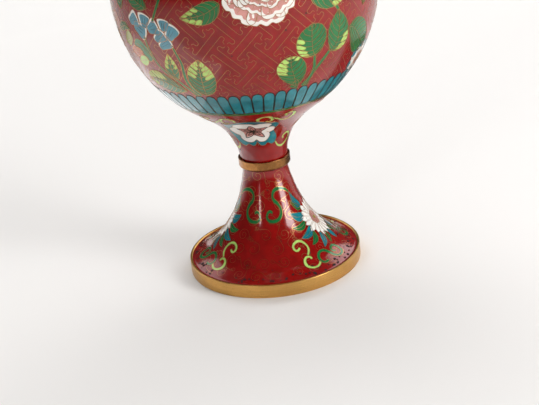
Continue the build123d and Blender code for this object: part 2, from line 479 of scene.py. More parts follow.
def fired_glaze_group():
    """Mottle, dark pinholes and a slightly uneven polished surface, for every enamel."""
    group = new_group(
        "Fired Glaze",
        "ShaderNodeTree",
        [
            ("Colour", COLOUR, (0.5, 0.5, 0.5, 1)),
            ("Shade", COLOUR, (0.2, 0.2, 0.2, 1)),
            ("Mottle Scale", FLOAT, 160.0),
            ("Mottle", FLOAT, 0.5),
            ("Pinholes", FLOAT, 0.2),
            ("Ripple", FLOAT, 0.1),
            ("Polish", FLOAT, 0.1),
        ],
        [("Colour", COLOUR), ("Roughness", FLOAT), ("Normal", VECTOR)],
    )
    g = Graph(group)
    given = g.node("NodeGroupInput").outputs
    place = g.node("ShaderNodeTexCoord").outputs["Object"]
    cloud = g.node(
        "ShaderNodeTexNoise", Vector=place, Scale=given["Mottle Scale"], Detail=4.0, Roughness=0.6
    ).outputs["Fac"]
    grain = g.node("ShaderNodeTexNoise", Vector=place, Scale=1500.0, Detail=2.0).outputs["Fac"]
    shade = g.math("MULTIPLY", g.spread(cloud, 0.35, 0.68, 0.0, 1.0), given["Mottle"])
    shade = g.math("ADD", shade, g.math("MULTIPLY", g.math("SUBTRACT", grain, 0.5), 0.25))
    dots = g.node("ShaderNodeTexVoronoi", Vector=place, Scale=420.0)
    few = g.node("ShaderNodeSeparateColor", Color=dots.outputs["Color"]).outputs[0]
    chosen = g.math("LESS_THAN", few, given["Pinholes"])
    size = g.node("ShaderNodeSeparateColor", Color=dots.outputs["Color"]).outputs[1]
    reach = g.spread(size, 0.0, 1.0, 0.05, 0.14)
    hole = g.math("MULTIPLY", chosen, g.math("LESS_THAN", dots.outputs["Distance"], reach))
    tone = g.mix(g.math("MAXIMUM", shade, 0.0), given["Colour"], given["Shade"])
    tone = g.mix(g.math("MULTIPLY", hole, 0.85), tone, (0.012, 0.006, 0.005, 1))
    rough = g.math("ADD", given["Polish"], g.math("MULTIPLY", g.math("SUBTRACT", grain, 0.4), 0.06))
    rough = g.math("ADD", g.math("MAXIMUM", rough, 0.02), g.math("MULTIPLY", hole, 0.4))
    swell = g.node("ShaderNodeTexNoise", Vector=place, Scale=95.0, Detail=1.5).outputs["Fac"]
    height = g.math("MULTIPLY", swell, given["Ripple"])
    height = g.math("ADD", height, g.math("MULTIPLY", grain, 0.004))
    height = g.math("SUBTRACT", height, g.math("MULTIPLY", hole, 0.12))
    bump = g.node("ShaderNodeBump", Strength=0.6, Distance=0.001, Height=height).outputs[0]
    g.node("NodeGroupOutput", Colour=tone, Roughness=rough, Normal=bump)
    return group


def worn_metal_group():
    """Brushing that runs round the vase, with tarnish in patches and small scratches."""
    group = new_group(
        "Worn Metal",
        "ShaderNodeTree",
        [
            ("Bright", COLOUR, (0.6, 0.4, 0.2, 1)),
            ("Tarnish", COLOUR, (0.2, 0.1, 0.05, 1)),
            ("Tarnished", FLOAT, 0.4),
            ("Patch Scale", FLOAT, 120.0),
            ("Brushing", FLOAT, 0.4),
            ("Polish", FLOAT, 0.3),
        ],
        [("Colour", COLOUR), ("Roughness", FLOAT), ("Normal", VECTOR)],
    )
    g = Graph(group)
    given = g.node("NodeGroupInput").outputs
    place = g.node("ShaderNodeTexCoord").outputs["Object"]
    flat = g.node("ShaderNodeMapping", Vector=place, Scale=(60.0, 60.0, 5200.0)).outputs[0]
    streak = g.node("ShaderNodeTexNoise", Vector=flat, Scale=1.0, Detail=3.0).outputs["Fac"]
    patch = g.node(
        "ShaderNodeTexNoise", Vector=place, Scale=given["Patch Scale"], Detail=5.0, Roughness=0.65
    ).outputs["Fac"]
    speck = g.node("ShaderNodeTexNoise", Vector=place, Scale=1900.0, Detail=2.0).outputs["Fac"]
    dull = g.math("MULTIPLY", g.spread(patch, 0.38, 0.7, 0.0, 1.0), given["Tarnished"])
    dull = g.math("ADD", dull, g.math("MULTIPLY", g.spread(speck, 0.6, 0.75, 0.0, 1.0), 0.25))
    streaked = g.math("MULTIPLY", g.math("SUBTRACT", streak, 0.5), given["Brushing"])
    tone = g.mix(g.math("MINIMUM", dull, 1.0), given["Bright"], given["Tarnish"])
    tone = g.mix(g.spread(streaked, -0.2, 0.2, 0.0, 0.3), tone, given["Tarnish"])
    rough = g.math("ADD", given["Polish"], g.math("MULTIPLY", dull, 0.22))
    rough = g.math("ADD", rough, g.math("MULTIPLY", streaked, 0.3))
    height = g.math("ADD", g.math("MULTIPLY", streaked, 0.08), g.math("MULTIPLY", speck, 0.006))
    bump = g.node("ShaderNodeBump", Strength=0.5, Distance=0.001, Height=height).outputs[0]
    g.node("NodeGroupOutput", Colour=tone, Roughness=rough, Normal=bump)
    return group


def dressed(name, group, values, metallic, coat=0.0, ior=1.5):
    """A material whose colour, roughness and normal come from a shader group."""
    material = bpy.data.materials.get(name)
    if material:
        return material
    material = bpy.data.materials.new(name)
    material.use_nodes = True
    tree = material.node_tree
    principled = tree.nodes["Principled BSDF"]
    effect = tree.nodes.new("ShaderNodeGroup")
    effect.node_tree = bpy.data.node_groups[group]
    for label, value in values.items():
        effect.inputs[label].default_value = value
    for source, socket in (("Colour", "Base Color"), ("Roughness", "Roughness"), ("Normal", "Normal")):
        tree.links.new(effect.outputs[source], principled.inputs[socket])
    principled.inputs["Metallic"].default_value = metallic
    principled.inputs["IOR"].default_value = ior
    principled.inputs["Coat Weight"].default_value = coat
    principled.inputs["Coat Roughness"].default_value = 0.05
    material.diffuse_color = values.get("Colour", values.get("Bright"))
    return material


def enamel(key, shade=0.45, mottle=0.5, scale=160.0, pinholes=0.05, ripple=0.1, polish=0.12):
    """The glassy enamel of one colour setting. shade is how dark its mottle gets."""
    base = tuple(getattr(bpy.context.scene.vase_colours, key))
    return dressed(
        f"{key}_glaze",
        "Fired Glaze",
        {
            "Colour": (*base, 1),
            "Shade": (*(channel * shade for channel in base), 1),
            "Mottle Scale": scale,
            "Mottle": mottle,
            "Pinholes": pinholes,
            "Ripple": ripple,
            "Polish": polish,
        },
        0.0,
        0.0,
    )


def metal(key, tarnished=0.4, brushing=0.4, polish=0.3, scale=120.0, shade=0.3):
    """The metal of one colour setting."""
    base = tuple(getattr(bpy.context.scene.vase_colours, key))
    return dressed(
        f"{key}_finish",
        "Worn Metal",
        {
            "Bright": (*base, 1),
            "Tarnish": (*(channel * shade for channel in base), 1),
            "Tarnished": tarnished,
            "Patch Scale": scale,
            "Brushing": brushing,
            "Polish": polish,
        },
        1.0,
        0.0,
    )


def red_ground():
    return enamel("red", shade=0.5, mottle=0.55, scale=210.0, pinholes=0.1, ripple=0.14, polish=0.13)


def turquoise_enamel():
    return enamel("turquoise", shade=0.42, mottle=0.7, scale=230.0, pinholes=0.12)


def leaf_enamel():
    return enamel("leaf", shade=0.45, mottle=0.75, scale=260.0, pinholes=0.1)


def gilt_wire():
    return metal("wire", tarnished=0.45, brushing=0.1, polish=0.28, scale=500.0, shade=0.4)


def lappet_wire():
    return metal("dark_wire", tarnished=0.6, brushing=0.1, polish=0.45, scale=500.0, shade=0.5)


# ---------------------------------------------------------------- geometry trees


def tree_ends(name, inputs):
    """A geometry tree with its first input and its output both geometry."""
    sockets = [("Geometry", "NodeSocketGeometry", None), *inputs, ("Material", "NodeSocketMaterial", None)]
    tree = new_group(name, "GeometryNodeTree", sockets, [("Geometry", "NodeSocketGeometry")])
    g = Graph(tree)
    return tree, g, g.node("NodeGroupInput").outputs


def finish_tree(g, geometry, material):
    """Ends a tree in plain, smooth, finished faces."""
    plain = g.node("GeometryNodeRealizeInstances", Geometry=geometry).outputs[0]
    shaded = g.node("GeometryNodeSetShadeSmooth", Geometry=plain).outputs[0]
    done = g.node("GeometryNodeSetMaterial", Geometry=shaded, Material=material).outputs[0]
    g.node("NodeGroupOutput", Geometry=done)


def turned_shell_tree():
    """Sweeps closed half-sections round the upright axis."""
    tree, g, given = tree_ends(
        "Turned Shell", [("Rail Radius", FLOAT, 0.01), ("Segments", "NodeSocketInt", 128)]
    )
    section = g.node("GeometryNodeMeshToCurve", Mesh=given["Geometry"]).outputs[0]
    rail = g.node(
        "GeometryNodeCurvePrimitiveCircle", Resolution=given["Segments"], Radius=given["Rail Radius"]
    ).outputs[0]
    shell = g.node("GeometryNodeCurveToMesh", Curve=rail, Profile_Curve=section).outputs[0]
    finish_tree(g, shell, given["Material"])
    return tree


def ring_of_cells_tree():
    """Repeats what it is given round the upright axis."""
    tree, g, given = tree_ends("Ring of Cells", [("Count", "NodeSocketInt", 12)])
    points = g.node("GeometryNodePoints", Count=given["Count"]).outputs[0]
    step = g.math("DIVIDE", 2 * math.pi, given["Count"])
    turn = g.math("MULTIPLY", g.node("GeometryNodeInputIndex").outputs[0], step)
    rotation = g.node("ShaderNodeCombineXYZ", Z=turn).outputs[0]
    ring = g.node(
        "GeometryNodeInstanceOnPoints", Points=points, Instance=given["Geometry"], Rotation=rotation
    ).outputs[0]
    finish_tree(g, ring, given["Material"])
    return tree


def pinholes_tree():
    """Scatters small sunk discs over the faces it is given."""
    tree, g, given = tree_ends(
        "Pinholes",
        [
            ("Density", FLOAT, 1000.0),
            ("Smallest", FLOAT, 0.0001),
            ("Largest", FLOAT, 0.0004),
            ("Seed", "NodeSocketInt", 0),
        ],
    )
    scatter = g.node(
        "GeometryNodeDistributePointsOnFaces",
        Mesh=given["Geometry"],
        Density=given["Density"],
        Seed=given["Seed"],
    )
    disc = g.node("GeometryNodeMeshCylinder", Vertices=7, Radius=1.0, Depth=0.5).outputs[0]
    size = g.node("FunctionNodeRandomValue", {"data_type": "FLOAT"}, Seed=given["Seed"])
    for index, key in ((2, "Smallest"), (3, "Largest")):
        g.feed(size, index, given[key])
    pits = g.node(
        "GeometryNodeInstanceOnPoints",
        Points=scatter.outputs["Points"],
        Instance=disc,
        Rotation=scatter.outputs["Rotation"],
        Scale=size.outputs[1],
    ).outputs[0]
    finish_tree(g, pits, given["Material"])
    return tree


def build_groups():
    """Makes each shared shader group and geometry tree once."""
    makers = {
        "Fired Glaze": fired_glaze_group,
        "Worn Metal": worn_metal_group,
        "Turned Shell": turned_shell_tree,
        "Ring of Cells": ring_of_cells_tree,
        "Pinholes": pinholes_tree,
    }
    for name, maker in makers.items():
        if name not in bpy.data.node_groups:
            maker()


def add_piece(name, mesh, material, slot, stands_for=()):
    """Puts a finished mesh in the scene as a piece of the vase."""
    mesh.shade_smooth()
    mesh.set_sharp_from_angle(angle=math.radians(38))
    mesh.materials.clear()
    mesh.materials.append(material)
    piece = bpy.data.objects.new(name, mesh)
    bpy.context.scene.collection.objects.link(piece)
    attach(piece, "root")
    if stands_for:
        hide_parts(*stands_for)
    return piece


def grown(name, start, tree_name, values):
    """A plain mesh of what a geometry tree makes of a starting mesh."""
    seedling = bpy.data.objects.new(name, start)
    bpy.context.scene.collection.objects.link(seedling)
    modifier = seedling.modifiers.new(name, "NODES")
    modifier.node_group = bpy.data.node_groups[tree_name]
    for item in modifier.node_group.interface.items_tree:
        if item.in_out == "INPUT" and item.name in values:
            modifier[item.identifier] = values[item.name]
    graph = bpy.context.evaluated_depsgraph_get()
    mesh = bpy.data.meshes.new_from_object(seedling.evaluated_get(graph))
    mesh.name = name
    bpy.data.objects.remove(seedling)
    bpy.data.meshes.remove(start)
    return mesh


# ---------------------------------------------------------------- turned walls and mounts


def skin_section(chart, low, high, near, far, step):
    """A closed half-section of a wall between two v values and two depths."""
    near_v = np.linspace(low, high, max(2, int((high - low) / step)) + 1)
    far_v = np.linspace(high, low, max(2, int((high - low) / (2.5 * step))) + 1)
    return np.vstack([
        np.stack(chart.section(near_v, near), -1), np.stack(chart.section(far_v, far), -1)
    ])


def rounded_section(corners, radius, arc_points=5):
    """A closed half-section from (radius, height) corners, each rounded."""
    corners = np.asarray(corners, float)
    points = []
    for before, here, after in zip(np.roll(corners, 1, 0), corners, np.roll(corners, -1, 0)):
        to_before = (before - here) / np.hypot(*(before - here))
        to_after = (after - here) / np.hypot(*(after - here))
        reach = min(radius, *(0.45 * np.hypot(*(end - here)) for end in (before, after)))
        start, end = here + to_before * reach, here + to_after * reach
        for t in np.linspace(0, 1, arc_points):
            points.append((1 - t) ** 2 * start + 2 * t * (1 - t) * here + t**2 * end)
    return np.array(points)


def turned(name, section, material, slot, stands_for=(), segments=None):
    """A piece turned from a closed half-section in millimetres."""
    section = np.asarray(section) * MM
    rail = float(section[:, 0].mean())
    points = [(radius - rail, -height, 0.0) for radius, height in section]
    count = len(points)
    start = bpy.data.meshes.new(name)
    start.from_pydata(points, [(i, (i + 1) % count) for i in range(count)], [])
    mesh = grown(
        name,
        start,
        "Turned Shell",
        {"Rail Radius": rail, "Segments": segments or sizes().segments, "Material": material},
    )
    return add_piece(name, mesh, material, slot, stands_for)


class VASE_OT_walls(bpy.types.Operator):
    """Turn the enamel skins and the linings"""

    bl_idname = "vase.walls"
    bl_label = "Turn Walls"

    def execute(self, context):
        red = red_ground()
        lining = enamel("lining", shade=0.5, mottle=0.6, scale=120.0, pinholes=0.25, polish=0.25)
        foot = skin_section(FOOT, 0.0, FOOT.length - 0.1, 0, 0.6, 0.8)
        foot = np.vstack([[(36.9, 5.2), (37.15, 5.45), (37.1, 5.65)], foot])
        turned("foot_red_skin", foot, red, "red_enamel", ["foot_enamel"])
        body = skin_section(BODY, 0.1, BODY.length - 1.2, 0, 0.6, 1.4)
        turned(
            "body_red_skin", body, red, "red_enamel", ["waist_enamel", "body_enamel", "neck_enamel"]
        )
        foot_lining = skin_section(FOOT, 0.5, FOOT.v_at(46.0), 1.5, 1.9, 1.2)
        turned("foot_lining", foot_lining, lining, "counter_enamel", ["foot_counter_enamel"], 160)
        body_lining = skin_section(BODY, BODY.v_at(50.1), BODY.length - 1.2, 1.5, 1.9, 2.0)
        turned("body_lining", body_lining, lining, "counter_enamel", ["body_counter_enamel"], 160)
        return {"FINISHED"}


class VASE_OT_mounts(bpy.types.Operator):
    """Turn the brass foot rim, stem collar and mouth bead, and finish the hardware inside"""

    bl_idname = "vase.mounts"
    bl_label = "Turn Brass Mounts"

    def execute(self, context):
        brass = metal("brass", tarnished=0.36, brushing=1.5, polish=0.3, scale=55.0, shade=0.4)
        aged = metal("old_brass", tarnished=0.45, brushing=0.4, polish=0.24, scale=260.0, shade=0.3)
        rim_low, rim_high = (np.array(corner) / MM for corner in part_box("foot_rim"))
        outer, wall, ledge = rim_high[0], 1.6, 4.4
        rim = [
            (outer - wall, rim_low[2]), (outer, rim_low[2]), (outer, rim_high[2]),
            (outer - 0.75, rim_high[2]), (outer - wall, rim_high[2] - 0.7), (outer - wall, 4.0),
            (outer - wall - ledge, 4.0),
            (outer - wall - ledge, 2.6), (outer - wall, 2.6),
        ]
        turned("foot_rim_brass", rounded_section(rim, 0.3), brass, "rim_brass", ["foot_rim"])
        low, high = (np.array(corner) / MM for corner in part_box("stem_collar"))
        radius, bottom, top = high[0] + 0.15, low[2] - 0.25, high[2] + 0.3
        collar = [
            (2.6, 47.5), (9.95, 47.5), (9.95, bottom), (radius - 0.75, bottom), (radius, bottom + 0.8),
            (radius - 0.05, top - 0.9), (radius, top - 0.6), (radius, top), (10.4, top),
            (10.4, 48.6), (2.6, 48.6),
        ]
        turned(
            "stem_collar_brass", rounded_section(collar, 0.22), aged, "collar_brass", ["stem_collar"]
        )
        low, high = (np.array(corner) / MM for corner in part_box("mouth_rim"))
        bead_outer, bead_inner = high[0], 22.9
        bead = [(bead_inner, low[2]), (bead_outer, low[2]), (bead_outer, high[2]), (bead_inner, high[2])]
        turned("mouth_bead_brass", rounded_section(bead, 1.7, 8), brass, "rim_brass", ["mouth_rim"])
        copper = metal("copper", tarnished=0.7, brushing=0.8, polish=0.35, scale=90.0, shade=0.25)
        steel = metal("steel", tarnished=0.3, brushing=0.3, polish=0.32, scale=300.0, shade=0.5)
        finishes = {
            copper: [
                "foot_core", "waist_core", "body_lower_core", "body_upper_core", "neck_core",
                "foot_top_disc", "waist_base_disc",
            ],
            steel: ["tie_bolt", "tie_nut", "tie_washer"],
        }
        for finish, names in finishes.items():
            for name in names:
                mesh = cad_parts[name].data
                mesh.materials.clear()
                mesh.materials.append(finish)
        return {"FINISHED"}


# ---------------------------------------------------------------- bands


BORDER_LOW, BORDER_HIGH = BODY.v_at(80.3), BODY.v_at(81.4)
LAPPET_HIGH = BODY.v_at(91.6)
SHOULDER_LOW, SHOULDER_HIGH = BODY.v_at(166.5), BODY.v_at(174.8)
SHOULDER_BORDER = BODY.v_at(176.0)


def around(chart, v, step=1.2):
    """A level line all round a chart."""
    u = np.linspace(0, chart.girth, int(chart.girth / step), endpoint=False)
    return np.stack([u, np.full(len(u), v)], -1)


def lappet_outline(pitch, root, crown):
    """A round-topped lappet from its root to its crown, which may hang down."""
    tall = crown - root
    half = 0.5 * pitch
    right = [
        (0.80, 0.0), (0.90, 0.12), (0.92, 0.4), (0.95, 0.66), (0.88, 0.82), (0.6, 0.95),
    ]
    points = [(x * half, root + y * tall) for x, y in right]
    points += [(0.0, crown)] + [(-x, y) for x, y in reversed(points)]
    return smooth(points, True, 0.45)


class VASE_OT_bands(bpy.types.Operator):
    """Lay the lappets, the green borders and the hoops of wire"""

    bl_idname = "vase.bands"
    bl_label = "Lay Lappet Bands"

    def execute(self, context):
        wire = gilt_wire()
        lappets = sizes().lappets
        pitch = BODY.girth / lappets
        bands = {
            "base": (BORDER_HIGH + 0.25, LAPPET_HIGH),
            "shoulder": (SHOULDER_HIGH - 0.25, SHOULDER_LOW),
        }
        for place, (root, crown) in bands.items():
            outline = lappet_outline(pitch, root, crown)
            cell, fence = Cells(), Wires()
            cell.fill(BODY, outline)
            fence.lay(BODY, outline, sizes().border_wire, closed=True)
            for kind, sheet, finish, slot in (
                ("enamel", cell, turquoise_enamel(), "turquoise_enamel"),
                ("wires", fence, lappet_wire(), "gilt_wire"),
            ):
                name = f"{place}_lappet_{kind}"
                values = {"Count": lappets, "Material": finish}
                mesh = grown(f"{name}_ring", sheet.mesh(name), "Ring of Cells", values)
                add_piece(f"{name}_ring", mesh, finish, slot, [name])
        green = enamel("leaf")
        borders = {
            "green_border": (BORDER_LOW, BORDER_HIGH),
            "shoulder_border": (SHOULDER_HIGH, SHOULDER_BORDER),
        }
        for name, (low, high) in borders.items():
            section = skin_section(BODY, low, high, -CELL_LIFT, SINK, 0.5)
            turned(f"{name}_band", section, green, "green_enamel", [f"{name}_enamel"])
        hoops = {
            "base_ring_wires": (BORDER_LOW, BORDER_HIGH),
            "shoulder_ring_wires": (SHOULDER_HIGH, SHOULDER_BORDER),
        }
        for name, levels in hoops.items():
            hoop = Wires()
            for v in levels:
                hoop.lay(BODY, around(BODY, v), sizes().border_wire, closed=True)
            add_piece(f"{name}_hoops", hoop.mesh(name), wire, "gilt_wire", [name])
        return {"FINISHED"}


# ---------------------------------------------------------------- the drawn decoration


class Drawing:
    """Cells by colour, their wires, and the outlines that the ground pattern keeps clear of."""

    def __init__(self, chart, grain):
        self.chart = chart
        self.grain = grain
        self.cells = {}
        self.wires = Wires()
        self.dark_wires = Wires()
        self.taken = []

    def cell(self, key, outline, lift=CELL_LIFT, wired=True, taken=True, width=None):
        """One cell of a colour, fenced by its own wire."""
        outline = np.asarray(outline)
        self.cells.setdefault(key, Cells()).fill(self.chart, outline, lift, self.grain)
        if wired:
            self.wire(outline, width, lift - CELL_LIFT, closed=True)
        if taken:
            self.taken.append(outline)

    def wire(self, path, width=None, lift=0.0, closed=False, dark=False):
        """One wire, gilt or tarnished."""
        wires = self.dark_wires if dark else self.wires
        wires.lay(self.chart, path, width or sizes().cell_wire, WIRE_LIFT + lift, closed)

    def leaf(self, left, right, ribs=7, pale=(), body="leaf", tip="tip"):
        """A leaf with a midrib, side ribs and pale fingers along stretches of its edge."""
        sides = [natural_leaf_side(side) for side in (left, right)]
        outline = np.vstack([sides[0], sides[1][-2:0:-1]])
        self.cell(body, respace(outline, 0.6, True))
        middle = (sides[0] + sides[1]) / 2
        last = len(middle) - 1

        def on(line, t):
            return line[int(round(np.clip(t, 0, 1) * last))]

        for side in sides:
            for i in range(ribs):
                t = (i + 0.6) / (ribs + 0.4)
                start, end = on(middle, 0.9 * t), on(side, t + 0.16)
                knee = (start + end) / 2 * 0.45 + on((middle + 2 * side) / 3, t + 0.02) * 0.55
                self.wire(smooth([start, knee, end], step=0.8), 0.13, 0.03)
        for which, low, high, deep in pale:
            side = sides[which]
            count = max(2, int(round((high - low) * ribs * 1.25)))
            for i in range(count):
                a = low + (high - low) * i / count
                b = low + (high - low) * (i + 0.84) / count
                reach = deep * (0.8 + 0.2 * math.sin(math.pi * (i + 0.5) / count))
                way = (on(middle, (a + b) / 2 - 0.16) - on(side, (a + b) / 2)) * reach
                edge = [on(side, t) for t in np.linspace(a, b, 5)]
                finger = edge + [
                    edge[-1] + way * 0.72, edge[2] + way, edge[0] + way * 0.72, edge[0] + way * 0.3,
                ]
                self.cell(tip, smooth(finger, True, 0.4), TIP_LIFT, taken=False, width=0.13)
        self.wire(respace(middle[1:-1], 0.9), 0.16, 0.03)

    def stem(self, path, start=1.0, middle=1.3, end=0.8, key="leaf"):
        """A stem or vine of one colour."""
        path = smooth(path, step=0.8)
        self.cell(key, respace(band(path, start, middle, end), 0.6, True))

    def pieces(self, name):
        """Makes one piece for each colour and one for the wires."""
        finishes = {
            "leaf": (leaf_enamel, "green_enamel"),
            "tip": (lambda: enamel("tip", shade=0.6, mottle=0.5, scale=400.0), "green_enamel"),
            "turquoise": (turquoise_enamel, "turquoise_enamel"),
            "white": (lambda: enamel("white", shade=0.75, mottle=0.4, pinholes=0.08), "red_enamel"),
            "pink": (lambda: enamel("pink", shade=0.65, mottle=0.6, scale=300.0), "red_enamel"),
            "orange": (lambda: enamel("orange", shade=0.5, mottle=0.6), "red_enamel"),
            "blue": (lambda: enamel("blue", shade=0.5, mottle=0.6, scale=300.0), "turquoise_enamel"),
            "branch": (lambda: enamel("branch", shade=0.5, mottle=0.7), "red_enamel"),
            "yellow": (lambda: enamel("yellow", shade=0.55, mottle=0.7), "green_enamel"),
        }
        for key, sheet in self.cells.items():
            finish, slot = finishes[key]
            add_piece(f"{name}_{key}_cells", sheet.mesh(f"{name}_{key}"), finish(), slot)
        add_piece(f"{name}_wires", self.wires.mesh(f"{name}_wires"), gilt_wire(), "gilt_wire")
        if self.dark_wires.points:
            mesh = self.dark_wires.mesh(f"{name}_dark_wires")
            add_piece(f"{name}_dark_wires", mesh, lappet_wire(), "gilt_wire")


def natural_leaf_side(points, samples=40):
    """One side of a leaf, base to tip, with a fixed number of points."""
    line = smooth(points, step=0.2)
    along = np.r_[0, np.cumsum(np.hypot(*np.diff(line, axis=0).T))]
    at = np.linspace(0, along[-1], samples)
    return np.stack([np.interp(at, along, line[:, k]) for k in (0, 1)], -1)


def aster(drawing, u, v, radius, petals, tip_key=None):
    """A many-petalled white flower with a pink heart."""
    chart = drawing.chart
    drawing.taken.append(chart.spot(ring_of(radius, petals, radius * 0.1), u, v))
    wide = 2 * math.pi * radius / petals * 0.8
    for i in range(petals):
        turn = 2 * math.pi * (i + 0.5) / petals
        reach = radius * (1.0 if i % 2 else 0.9)
        outline = petal(radius * 0.2, reach, wide, 0.8)
        drawing.cell("white", chart.spot(outline, u, v, turn), taken=False, width=0.11)
        if tip_key:
            cap = petal(radius * 0.66, reach * 0.985, wide * 0.8, 0.7)
            drawing.cell(tip_key, chart.spot(cap, u, v, turn), TIP_LIFT, False, False)
    heart = ring_of(radius * 0.34, 7, radius * 0.05, 0.4)
    drawing.cell("pink", chart.spot(heart, u, v), TIP_LIFT + 0.02, taken=False, width=0.12)
    for i in range(7):
        ray = np.array([(0.0, radius * 0.1), (0.0, radius * 0.31)])
        turned_ray = chart.spot(smooth(ray, step=0.5), u, v, 2 * math.pi * i / 7)
        drawing.wire(turned_ray, 0.1, 0.05)
    drawing.cell("yellow", chart.spot(ring_of(radius * 0.09, 5, 0.1, 0.25), u, v),
                 TIP_LIFT + 0.04, taken=False, width=0.12)


def peony(drawing, u, v, radius, turn=0.0):
    """A full peony: rings of scalloped white petals, each blushing pink towards its root."""
    chart = drawing.chart
    layer = 0
    for level, (share, count) in enumerate(((1.0, 8), (0.79, 7), (0.6, 6), (0.42, 5), (0.27, 5))):
        for i in range(count):
            around_it = turn + 0.9 * level + 2 * math.pi * i / count
            reach = radius * share * (1.0 + 0.07 * math.sin(2.3 * i + level))
            fan = peony_petal(reach, 2.3 * math.pi * reach / count)
            lift = CELL_LIFT + 0.014 * layer
            drawing.cell("white", chart.spot(fan, u, v, around_it), lift, True, level == 0, 0.2)
            blush = fan * (0.84, 0.9)
            drawing.cell("pink", chart.spot(blush, u, v, around_it), lift + 0.007, False, False)
            for lean in (-0.24, 0.0, 0.24):
                rib = np.array([(lean * 0.4 * reach, reach * 0.45), (lean * reach, reach * 0.86)])
                drawing.wire(chart.spot(smooth(rib, step=1.0), u, v, around_it), 0.12, lift - 0.04)
            layer += 1
    heart = ring_of(radius * 0.15, 6, radius * 0.035, 0.4)
    drawing.cell("yellow", chart.spot(heart, u, v), CELL_LIFT + 0.014 * layer, True, False, 0.16)


def peony_petal(reach, width):
    """A fan petal along +Y with three scallops."""
    half = width / 2
    right = [
        (0.12 * half, 0.1 * reach), (0.62 * half, 0.5 * reach), (0.95 * half, 0.74 * reach),
        (0.86 * half, 0.9 * reach), (0.5 * half, 0.97 * reach), (0.3 * half, 0.93 * reach),
    ]
    points = right + [(0.0, reach)] + [(-x, y) for x, y in reversed(right)]
    return smooth(points, True, 0.6)


def plum_blossom(drawing, u, v, radius, turn=0.0, key="white"):
    """A small round five-petalled blossom."""
    chart = drawing.chart
    for i in range(5):
        lobe = petal(radius * 0.15, radius, radius * 0.84, -0.5)
        drawing.cell(key, chart.spot(lobe, u, v, turn + 2 * math.pi * i / 5), width=0.18)
    drawing.cell("pink", chart.spot(ring_of(radius * 0.3, 5, radius * 0.06, 0.3), u, v),
                 TIP_LIFT + 0.01, True, False, 0.15)


def blue_petal(drawing, u, v, long, wide, tilt):
    """A rounded blue petal with a white edge along one side."""
    chart = drawing.chart
    tilt = math.radians(tilt) - math.pi / 2
    outline = petal(-0.55 * long, 0.55 * long, wide * 1.7, -0.5)
    drawing.cell("white", chart.spot(outline, u, v, tilt), width=0.16)
    inner = outline * (0.8, 0.86) + (0.12 * wide, -0.05 * long)
    drawing.cell("blue", chart.spot(inner, u, v, tilt), TIP_LIFT, False, False)
    for lean in (-0.1, 0.14):
        vein = np.array([(lean * wide, -0.3 * long), (lean * 1.6 * wide, 0.2 * long)])
        drawing.wire(chart.spot(smooth(vein, step=0.8), u, v, tilt), 0.1, 0.03, dark=True)


